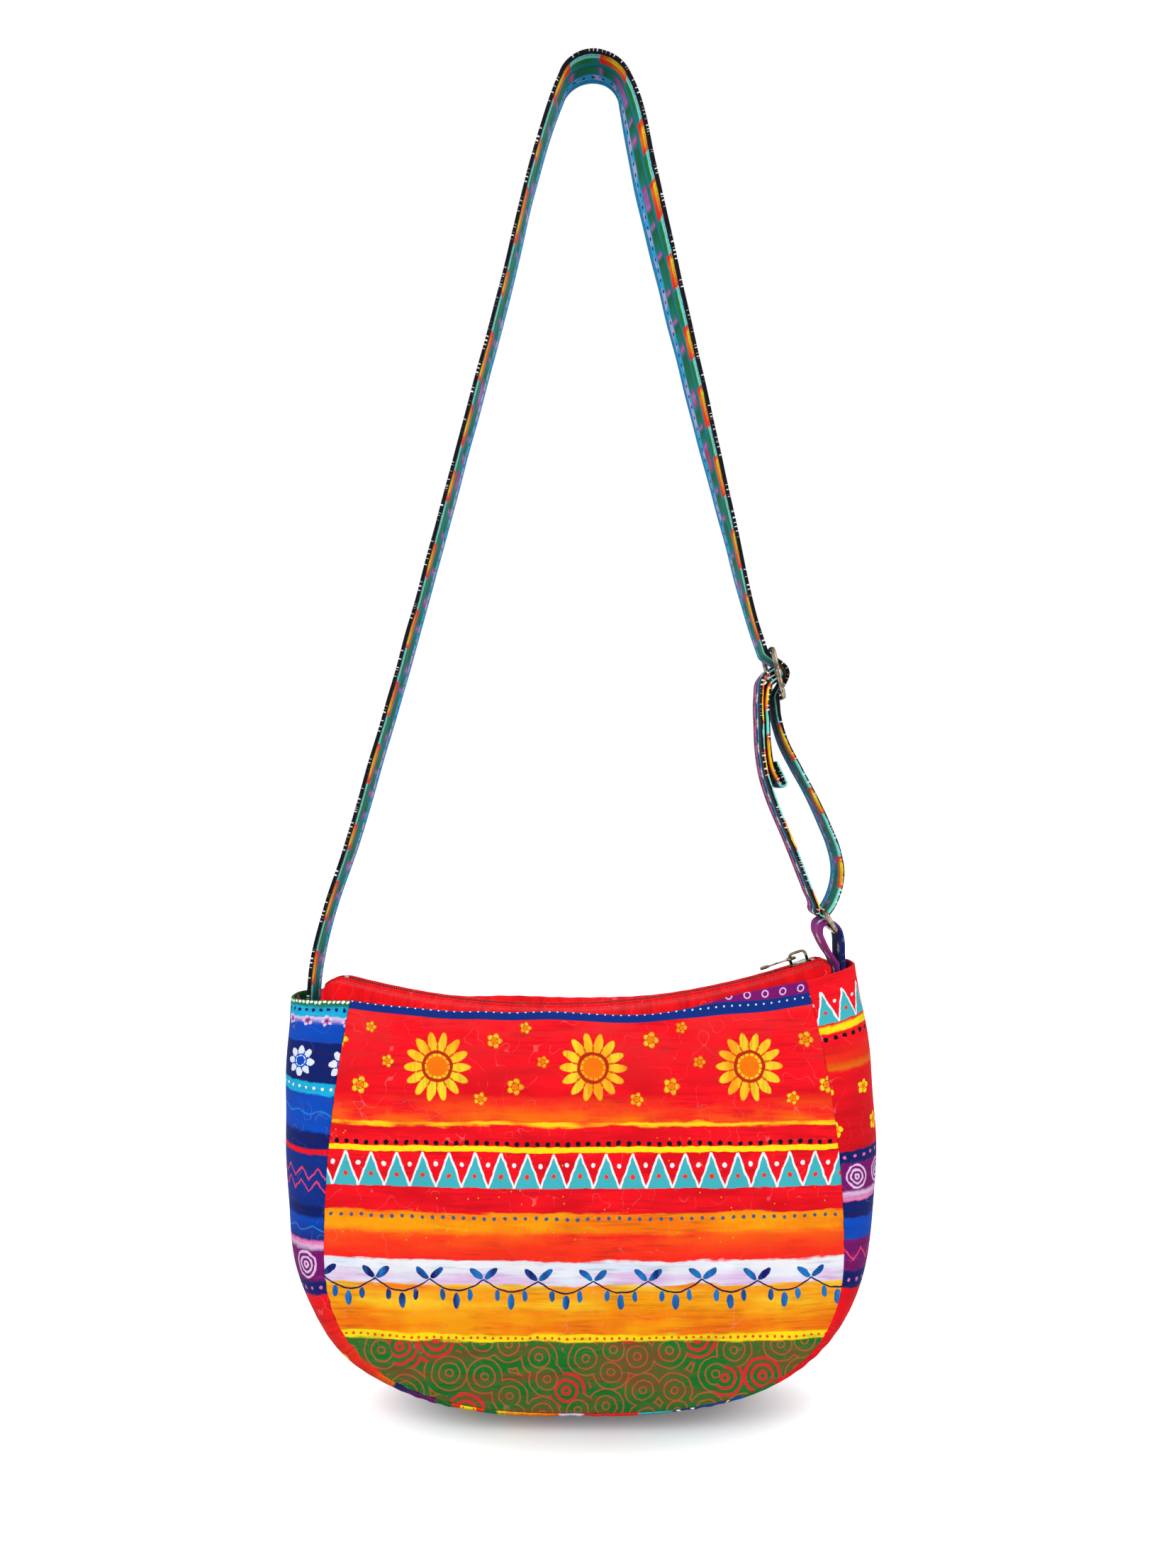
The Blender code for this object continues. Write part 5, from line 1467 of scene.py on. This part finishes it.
STRAP_WIDTH = 0.035
STRAP_THICKNESS = 0.0026
STRAP_STEPS = 1400
STRAP_STITCHES_IN = 0.0030
STRAP_WAVE = 0.00018
BAND_WAVE_LENGTH = 0.034
BAND_WAVE_ACROSS = 0.4
BAND_GROOVE = 0.00022
BAND_GROOVE_SPREAD = 0.0008
PEG_RADIUS = 0.0187
STRAP_FOOT_DEPTH = 0.020
LEFT_LEG_LEAN = 15.5
RIGHT_LEG_LEAN = 12.6
LEFT_LEG_BOW = -0.0027
RIGHT_LEG_BOW = -0.001
RIGHT_LEG_TWIST = -20.0
TWIST_STATION = [0.0, 0.06, 0.18, 0.39, 0.65, 0.80, 1.0]
TWIST_SHARE = [0.0, 0.62, 0.86, 0.75, 0.52, 0.30, 0.0]
LEFT_LEG_DROP = 0.556
LEFT_LEG_STATION = [0.0, 0.07, 0.16, 0.24, 0.33, 0.67, 0.92, 1.0]
LEFT_LEG_SHIFT = [0.0, 0.0009, 0.0030, 0.0018, 0.0016, 0.0, 0.0, 0.0]
LEFT_LEG_TWIST = [0.0, -1.0, -2.0, -2.5, -2.5, -2.5, -1.5, 0.0]
TWIST_END_ABOVE_ADJUSTER = 0.028
LEG_FROM_FOOT = (0.0021, 0.021)
LEG_SLACK = 0.0015
LEG_END_PITCHES = 2.1
ADJUSTER_FROM_RING = (-0.02745, 0.14015)
ADJUSTER_TILT = 13.0
ADJUSTER_BAR_PITCH = 0.0146
WIRE = 0.0030
WIRE_PLAY = 0.0015
RING_FROM_TAB_FOOT = (-0.01234, 0.0341)
RING_TILT = 30.0
RING_BAR_PITCH = 0.0129
TAB_WIDTH = 0.032
TAB_STITCHES_IN = 0.0028
TAB_WAVE = 0.0001
TAB_FOOT_DEPTH = 0.016
TAB_STEPS = 160
TAB_LEAN = (0.0004, 0.0080)
TAB_INNER_LEAN = (0.0012, 0.0030)
TAIL_FOLD_RADIUS = 0.00155
TAIL_FOLD_LENGTH = 0.013
TAIL_FOLD_STEPS = 15
TAIL_RETURN_STEPS = 13
LEG_SPLIT_Z = -0.075
LOOP_SPLIT_ABOVE_RING = 0.035
LOOP_SPLIT_BELOW_BUCKLE = 0.0243
BUCKLE_BLEND_STEPS = (720, 940)
LOOP_BLEND_STEP = 6
SLACK_BELOW_ADJUSTER = [
    (-0.0042, -0.0240), (-0.0036, -0.0382), (0.0008, -0.0572), (0.0056, -0.0748), (0.0096, -0.0930),
]
SLACK_ABOVE_RING = [(0.0092, 0.0352), (0.0112, 0.0228), (0.0092, 0.0105)]
TAUT_ABOVE_RING = [(-0.0063, 0.0105), (-0.0100, 0.0200), (-0.0163, 0.0360)]
TAUT_BELOW_ADJUSTER = [
    (-0.0180, -0.0698), (-0.0188, -0.0575), (-0.0178, -0.0415),
    (-0.0149, -0.0260), (-0.0114, -0.0105), (-0.0075, -0.0006),
]
SEWN_TAIL = [
    (-0.0045, -0.0052), (-0.0085, -0.0130), (-0.0112, -0.0262),
    (-0.0140, -0.0415), (-0.0146, -0.0545), (-0.0125, -0.0640),
]
TAB_LOOP = [
    (0.0049, -0.0046), (0.0032, 0.0008), (0.0010, 0.0033), (-0.0036, 0.0045),
    (-0.0068, 0.0026), (-0.0076, -0.0018), (-0.0057, -0.0070), (-0.0026, -0.0130),
]


def sewn_inside(share, ribbon_width):
    """How far out of a corner a ribbon lies that is sewn flat inside the gusset's end."""
    wall = SOLID_CANVAS + CLEARANCE
    power = gusset_power(share)
    reach = 1 - (ribbon_width / 2 / (half_depth(share) - wall)) ** power
    return float((bulge(share) - wall) * reach ** (1 / power))


strap_foot = left_corner[0] - sewn_inside(0.0, STRAP_WIDTH) + STRAP_THICKNESS / 2
right_way = outward(np.array(1.0))
tab_foot = right_corner[0] + sewn_inside(1.0, TAB_WIDTH) * right_way[0] - STRAP_THICKNESS / 2
tab_rim = right_corner[1] + (tab_foot - right_corner[0]) * right_way[1] / right_way[0]
ring_top = np.array([tab_foot + RING_FROM_TAB_FOOT[0], tab_rim + RING_FROM_TAB_FOOT[1]])
buckle = ring_top + ADJUSTER_FROM_RING
ring_lean = math.radians(RING_TILT)
ring_low = ring_top + RING_BAR_PITCH * np.array([math.sin(ring_lean), -math.cos(ring_lean)])


def on_buckle(*places):
    """Points given across and up in the buckle's frame, which leans left."""
    return buckle + turned_by(np.transpose(places), math.radians(ADJUSTER_TILT))


def round_points(origin, radius, first, last, steps):
    """Points round a bar or the peg, between two angles in degrees."""
    turn = np.radians(np.linspace(first, last, steps + 1))
    return origin + radius * stacked(np.cos(turn), np.sin(turn))


def bowed(first, last, bow, steps):
    """Points of a leg between its two ends that bows sideways by a parabola; the ends are left out."""
    side = unit(np.array([first[1] - last[1], last[0] - first[0]]))
    share = (np.arange(steps)[:, None] + 1) / (steps + 1)
    return first + (last - first) * share + side * bow * 4 * share * (1 - share)


def smooth_line(points, steps):
    """Cubic through the points, parted by their distances and read off at even steps."""
    length = travelled(points)
    at = np.linspace(0.0, length[-1], steps)
    return stacked(*[smooth_through(length, points[:, k], at) for k in (0, 1)])


bar_play = WIRE / 2 + CLEARANCE + STRAP_THICKNESS / 2
over_bar = bar_play + STRAP_THICKNESS + 2 * CLEARANCE
cross = math.degrees(math.asin((bar_play + over_bar) / ADJUSTER_BAR_PITCH))
lean = ADJUSTER_TILT
foot_points = stacked(strap_foot, left_corner[1] - STRAP_FOOT_DEPTH * np.array([1.0, 0.5, 0.0]))
peg_wrap = PEG_RADIUS + STRAP_THICKNESS / 2
over_peg = round_points((0.0, -PEG_RADIUS), peg_wrap, 180 - LEFT_LEG_LEAN, RIGHT_LEG_LEAN, 10)
left_leg = bowed(foot_points[-1] + LEG_FROM_FOOT, over_peg[0], LEFT_LEG_BOW, 5)
enter = on_buckle((-bar_play - LEG_SLACK, LEG_END_PITCHES * ADJUSTER_BAR_PITCH))
top_bar, low_bar = on_buckle((0.0, ADJUSTER_BAR_PITCH), (0.0, -ADJUSTER_BAR_PITCH))
strap_line = smooth_line(np.concatenate([
    foot_points, left_leg, over_peg, bowed(over_peg[-1], enter[0], RIGHT_LEG_BOW, 5), enter,
    round_points(top_bar, bar_play, lean + 176, lean + 180 + cross, 3),
    round_points(buckle, over_bar, lean + cross, lean - cross, 4),
    round_points(low_bar, bar_play, lean + 180 - cross, lean + 188, 3),
    on_buckle(*SLACK_BELOW_ADJUSTER), ring_top + SLACK_ABOVE_RING,
    round_points(ring_top, bar_play, -30, -200, 6),
    ring_top + TAUT_ABOVE_RING, on_buckle(*TAUT_BELOW_ADJUSTER),
    round_points(buckle, bar_play, 90 + lean, -90 + lean, 6), on_buckle(*SEWN_TAIL),
]), STRAP_STEPS)
left_share = np.clip(-strap_line[:, 1] / LEFT_LEG_DROP, 0.0, 1.0)
strap_line[:, 0] -= (strap_line[:, 0] < 0) * smooth_through(LEFT_LEG_STATION, LEFT_LEG_SHIFT, left_share)
strap_travel = travelled(strap_line)
tail_way = unit(strap_line[-1] - strap_line[-12])
tail_side = np.array([-tail_way[1], tail_way[0]])
fold_turn = np.linspace(0.0, math.pi, TAIL_FOLD_STEPS + 1)[1:, None]
tail_fold = TAIL_FOLD_RADIUS * (tail_side * (1 - np.cos(fold_turn)) + tail_way * np.sin(fold_turn))
tail_fold = strap_line[-1] + tail_fold
tail_share = np.linspace(0.0, 1.0, TAIL_RETURN_STEPS + 1)[1:, None]
tail_return = tail_fold[-1] - tail_way * TAIL_FOLD_LENGTH * tail_share


def band_section(width, thickness, seam_in, points=15):
    """Closed section of a folded band, as across and up: the thickness falls away to the edges as
    the cube root of 1 - a to the 8th, with a shallow groove at each row of stitches. It runs from the
    back edge over the upper face to the front edge and back below."""
    a = np.cos(np.linspace(0.0, math.pi, points))
    groove = BAND_GROOVE * bump_at((1 - np.abs(a)) * width / 2, seam_in, BAND_GROOVE_SPREAD)
    height = thickness / 2 * (1 - np.abs(a) ** 8) ** (1 / 3) - groove * (np.abs(a) < 0.999)
    upper = stacked(a * width / 2, height)
    return np.concatenate([upper, (upper * [1.0, -1.0])[::-1][1:-1]])


def banded(name, line, start_length, section, twist, width_wave=0.0, seed=5):
    """A section carried along a line in the XZ plane. Its across way lies along Y, turned about the
    line by the twist at each point; its up way is the line's left side."""
    along = unit(np.gradient(line, axis=0))
    length = start_length + travelled(line)
    across, up = section.T[:, None]
    wavy_length, wavy_across = np.broadcast_arrays(length[:, None], BAND_WAVE_ACROSS * across)
    up = up + width_wave * cloth_waves(wavy_length, wavy_across, BAND_WAVE_LENGTH, seed)
    cos, sin = np.cos(twist)[:, None], np.sin(twist)[:, None]
    lifted = across * sin + up * cos
    points = stacked(
        line[:, :1] - along[:, 1:] * lifted, across * cos - up * sin, line[:, 1:] + along[:, :1] * lifted
    )
    around = travelled(np.concatenate([section, section[:1]]))
    uv = np.stack(grid(length, around[-1] / 2 - around), -1)
    return tidied(surface(name, points, uv, round_section=True, closed_ends=True))


def leg_twist(line):
    """Turn of the band about its own line: both legs show some of their inner face."""
    share = np.clip(line[:, 1] / (buckle[1] + TWIST_END_ABOVE_ADJUSTER), 0.0, 1.0)
    right_twist = RIGHT_LEG_TWIST * smooth_through(TWIST_STATION, TWIST_SHARE, share)
    right_twist = np.where(line[:, 1] < buckle[1], 0.0, right_twist)
    drop = np.clip(-line[:, 1] / LEFT_LEG_DROP, 0.0, 1.0)
    left_twist = smooth_through(LEFT_LEG_STATION, LEFT_LEG_TWIST, drop)
    return np.radians(np.where(line[:, 0] < 0, left_twist, right_twist))


strap_section = band_section(STRAP_WIDTH, STRAP_THICKNESS, STRAP_STITCHES_IN)
past_peg = np.arange(STRAP_STEPS) > np.argmax(strap_line[:, 1])


def steps_below(height):
    """Steps of the strap's line, past the peg, that lie under a height."""
    return np.nonzero((strap_line[:, 1] < height) & past_peg)[0]


def strap_stretch(name, first, last):
    """The strap between two steps of its line."""
    line = strap_line[first:last + 1]
    if last == STRAP_STEPS - 1:
        line = np.concatenate([line, tail_fold, tail_return])
    return banded(name, line, strap_travel[first], strap_section, leg_twist(line), STRAP_WAVE)


on_leg = int(steps_below(LEG_SPLIT_Z)[0])
below_buckle = int(steps_below(buckle[1] - LOOP_SPLIT_BELOW_BUCKLE)[0])
above_ring, *_, past_ring = steps_below(ring_top[1] + LOOP_SPLIT_ABOVE_RING).tolist()
over_the_peg = strap_stretch("strap_over_the_peg", 0, on_leg)
through_buckle = strap_stretch("strap_through_buckle", on_leg, below_buckle)
slack_ply = strap_stretch("strap_slack_ply", below_buckle, above_ring)
round_ring = strap_stretch("strap_round_ring", above_ring, past_ring)
taut_ply = strap_stretch("strap_taut_ply", past_ring, STRAP_STEPS - 1)
blend_from, blend_to, loop_low, loop_high = [
    (float(strap_line[step, 0]), 0.0, float(strap_line[step, 1]))
    for step in (*BUCKLE_BLEND_STEPS, above_ring, below_buckle + LOOP_BLEND_STEP)
]
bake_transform(through_buckle)
for ply in (slack_ply, taut_ply):
    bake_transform(ply)
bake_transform(round_ring)


@shader_group("mask")
def tick_row(along, across, low, high, pitch):
    """Short uneven strokes across a band, in groups: where a fast noise along it and a slow one are
    both low."""
    dash = clouds(along / pitch, across * 30.0, 1.0, 1.0).below(0.40, 0.03)
    middle = (across - (low + high) * 0.5).size().below((high - low) * 0.5)
    return dash * middle * clouds(along, across * 0.0, 60.0, 1.0).below(0.50, 0.03)


SKY = dye(18, 146, 206)
TEAL = dye(0, 128, 130)
DARK_TEAL = dye(8, 60, 66)
LEAF_GREEN = dye(4, 96, 56)
PALE_AQUA = dye(130, 232, 226)
strap_webbing, band_along, band_across = new_cloth_material("strap_webbing")
hand_along = wavered(band_along, band_along, band_across, 150.0, 0.0024)
loop_share = 1 - band_along.below(float(strap_travel[below_buckle]), 0.020)
hand_across = wavered(band_across, band_across, band_along, 150.0, 0.0014) - loop_share * 0.0034
inner_dye = colour_bands(hand_across, [
    (-0.0370, -0.0345, TEAL), (-0.0343, -0.0240, SKY), (-0.0238, -0.0232, -0.0160, TEAL),
    (-0.0158, -0.0153, DARK_TEAL), (-0.0151, -0.0118, -0.0035, TEAL), (-0.0033, 0.0062, INK),
])
outer_dye = colour_bands(hand_across, [
    (0.0000, 0.0062, INK), (0.0064, 0.0098, AQUA), (0.0100, 0.0180, NAVY), (0.0182, YELLOW),
    (0.0196, ORANGE), (0.0198, 0.0290, PURPLE), (0.0292, 0.0306, GREEN), (0.0308, 0.0370, INK),
])
print_drift = clouds(band_along, band_across * 0.0, 26.0, 1.0) * 0.030
block_share = ((hand_along + print_drift) / 0.042).share()
block_heart = colour_bands(block_share, [
    (0.0, ORANGE_RED), (0.04, ORANGE), (0.10, YELLOW), (0.40, AMBER), (0.47, ORANGE),
    (0.51, ORANGE_RED), (0.52, 0.99, PALE_AQUA), (1.0, ORANGE_RED),
])
block_rim = colour_bands(block_share, [
    (0.0, RED), (0.06, ORANGE_RED), (0.20, ORANGE), (0.44, ORANGE_RED), (0.51, RED),
    (0.52, TEAL), (0.60, 0.90, GREEN), (0.99, TEAL), (1.0, RED),
])
patch_dye = colour_bands(((hand_along - print_drift * 1.7) / 0.0205).share(), [
    (0.0, LEAF_GREEN), (0.40, dye(0, 120, 84)), (0.62, TEAL), (0.64, dye(160, 62, 120)),
    (0.78, dye(170, 120, 196)), (0.88, dye(176, 50, 84)), (0.90, TEAL), (1.0, LEAF_GREEN),
])
cloud_dye = laid_over(clouds(band_along, band_across, 90.0).below(0.46, 0.06), LILAC, dye(60, 180, 230))


def stripe(line, half_wide, soft=0.0002):
    """Mask of a stripe along the strap."""
    return (hand_across - line).size().below(half_wide, soft)


strap_dye = printed(
    laid_over(band_across.below(0.0010), inner_dye, outer_dye),
    (stripe(-0.0075, 0.0041), laid_over(stripe(-0.0052, 0.0020, 0.0006), block_heart, block_rim)),
    (stripe(-0.0198, 0.0036), patch_dye),
    (stripe(-0.0272, 0.0024) * 0.7, cloud_dye),
)
strap_dye = rows_of(
    dot_row, strap_dye, hand_along, hand_across,
    (-0.0272, 0.0066, 0.0011, dye(4, 60, 110)), (0.0081, 0.0046, 0.0008, NAVY), (0.0189, 0.0040, 0.0006, RED),
)
flower, heart, *_ = blossom_row(band_along, band_across, 0.0140, 0.0150, 0.0036, 6.0)
discs = target_row(band_along, band_across, 0.0244, 0.0120, 0.0040, 0.0017)
strap_dye = printed(strap_dye, (flower, PALE_BLUE), (heart, ORANGE), (discs, PINK))
strap_ticks = ((-0.0012, 0.0028, 0.0013, WHITE), (0.0328, 0.0350, 0.0013, WHITE))
strap_dye = rows_of(tick_row, strap_dye, band_along, band_across, *strap_ticks)
BAND_STITCH = 0.0031


def topstitched(along, across, cloth, thread, share, lines):
    """A band's colour and height with its rows of stitches: the weave's height, raised at each."""
    height, shade = canvas_weave(along, across, CANVAS_THREAD)
    for line in lines:
        seam = stitch_row(along, across, line, BAND_STITCH)
        cloth = laid_over(seam * share, thread, cloth)
        height = height + seam * 2.5
    return cloth, height, shade


strap_seams = (-0.0322, -0.0046, 0.0046, 0.0322)
strap_dye, strap_height, strap_shade = topstitched(
    band_along, band_across, strap_dye, dye(10, 50, 84), 0.5, strap_seams
)
strap_shade = strap_shade * (clouds(band_along, band_across, 90.0) * 0.24 + 0.86)
finish_cloth(strap_webbing, strap_dye, strap_height, strap_shade)
for ply in (over_the_peg, through_buckle, slack_ply, round_ring, taut_ply):
    finished(ply, "bag" if ply is over_the_peg else None, strap_webbing, "strap_webbing", "strap")


# The tab: a short loop of the same band in other colours, sewn in at the bag's right end.

tab_inner = tab_foot - STRAP_THICKNESS - CLEARANCE
tab_line = smooth_line(np.concatenate([
    stacked(tab_foot, tab_rim - TAB_FOOT_DEPTH * np.array([1.0, 0.5, 0.0])),
    [(tab_foot - TAB_LEAN[0], tab_rim + TAB_LEAN[1])],
    ring_low + TAB_LOOP,
    [(tab_inner - TAB_INNER_LEAN[0], tab_rim + TAB_INNER_LEAN[1])],
    stacked(tab_inner, tab_rim - TAB_FOOT_DEPTH * np.array([0.28, 0.62, 1.0])),
]), TAB_STEPS)
tab_section = band_section(TAB_WIDTH, STRAP_THICKNESS, TAB_STITCHES_IN)
tab = banded("tab_band", tab_line, 0.0, tab_section, 0 * tab_line[:, 0], TAB_WAVE, 8)
tab_webbing, tab_along, tab_across = new_cloth_material("tab_webbing")
tab_length = float(travelled(tab_line)[-1])
tab_dye = colour_bands(tab_along / tab_length, [
    (0.0, 0.38, NAVY), (0.50, PURPLE), (0.60, dye(178, 48, 128)), (0.80, PURPLE), (1.0, NAVY)
])
tab_second = laid_over(tab_along.below(tab_length * 0.45, 0.008), BLUE, dye(120, 40, 130))
tab_dye = brushed_dye(tab_along, tab_across, tab_dye, tab_second)
for line in (-0.0110, 0.0110):
    flower, heart, *_ = blossom_row(tab_along, tab_across, line, 0.0110, 0.0034, 6.0)
    tab_dye = printed(tab_dye, (flower, PALE_BLUE), (heart, ORANGE))
tab_seams = (-0.0300, -0.0044, 0.0044, 0.0300)
finish_cloth(tab_webbing, *topstitched(tab_along, tab_across, tab_dye, dye(60, 40, 110), 1.0, tab_seams))
finished(tab, "bag", tab_webbing, "tab_webbing", "ring_tab")


# The ring and the buckle: both bent from the same round wire. The buckle has a third bar across its
# middle, whose ends are pressed round the frame's sides as collars.

FRAME_CORNER = 0.003
CORNER_STEPS = 9
MIDDLE_BAR_STEPS = 60
MIDDLE_BAR_RADIUS = 0.00144
COLLAR_RADIUS = 0.0023
COLLAR_HALF = 0.0021
COLLAR_ROUND = 0.00215
COLLAR_STEPS = 15
frame_half_wide = STRAP_WIDTH / 2 + WIRE_PLAY + WIRE / 2


def hung(across, up, centre, degrees):
    """Points given across (Y) and up, placed at a centre in a frame that leans left by degrees."""
    lean = math.radians(degrees)
    return stacked(centre[0] - up * math.sin(lean), across, centre[1] + up * math.cos(lean))


def wire_frame(name, half_long, centre, degrees):
    """Rectangle of wire with rounded corners and its bars along Y."""
    quarter = np.repeat(np.arange(4), CORNER_STEPS)
    angle = quarter * math.pi / 2 + np.tile(np.linspace(0.0, math.pi / 2, CORNER_STEPS), 4)
    across = np.choose(quarter, (1, -1, -1, 1)) * (frame_half_wide - FRAME_CORNER)
    up = np.choose(quarter, (1, 1, -1, -1)) * (half_long - FRAME_CORNER)
    line = hung(across + FRAME_CORNER * np.cos(angle), up + FRAME_CORNER * np.sin(angle), centre, degrees)
    return tube(name, line, WIRE / 2, sides=20, closed=True)


ring_wire = wire_frame("ring_wire", RING_BAR_PITCH / 2, (ring_top + ring_low) / 2, RING_TILT)
finished(ring_wire, "ring", nickel, "nickel", "ring")
bar_across = np.linspace(-frame_half_wide, frame_half_wide, MIDDLE_BAR_STEPS)
bar_line = hung(bar_across, 0 * bar_across, buckle, ADJUSTER_TILT)
buckle_parts = [
    wire_frame("buckle_frame", ADJUSTER_BAR_PITCH, buckle, ADJUSTER_TILT),
    tube("buckle_middle_bar", bar_line, MIDDLE_BAR_RADIUS, sides=20),
]
collar_up = np.linspace(-COLLAR_HALF, COLLAR_HALF, COLLAR_STEPS)
collar_swell = COLLAR_RADIUS * (1 - (collar_up / COLLAR_ROUND) ** 8) ** 0.25
for label, side in (("front", -1), ("back", 1)):
    place = hung(side * frame_half_wide, collar_up, buckle, ADJUSTER_TILT)
    buckle_parts.append(tube("buckle_collar_" + label, place, collar_swell, sides=24))
for piece in buckle_parts:
    finished(piece, "adjuster", nickel, "nickel", "adjuster")


boxes = {"cad": cad_box, "visual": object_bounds()}
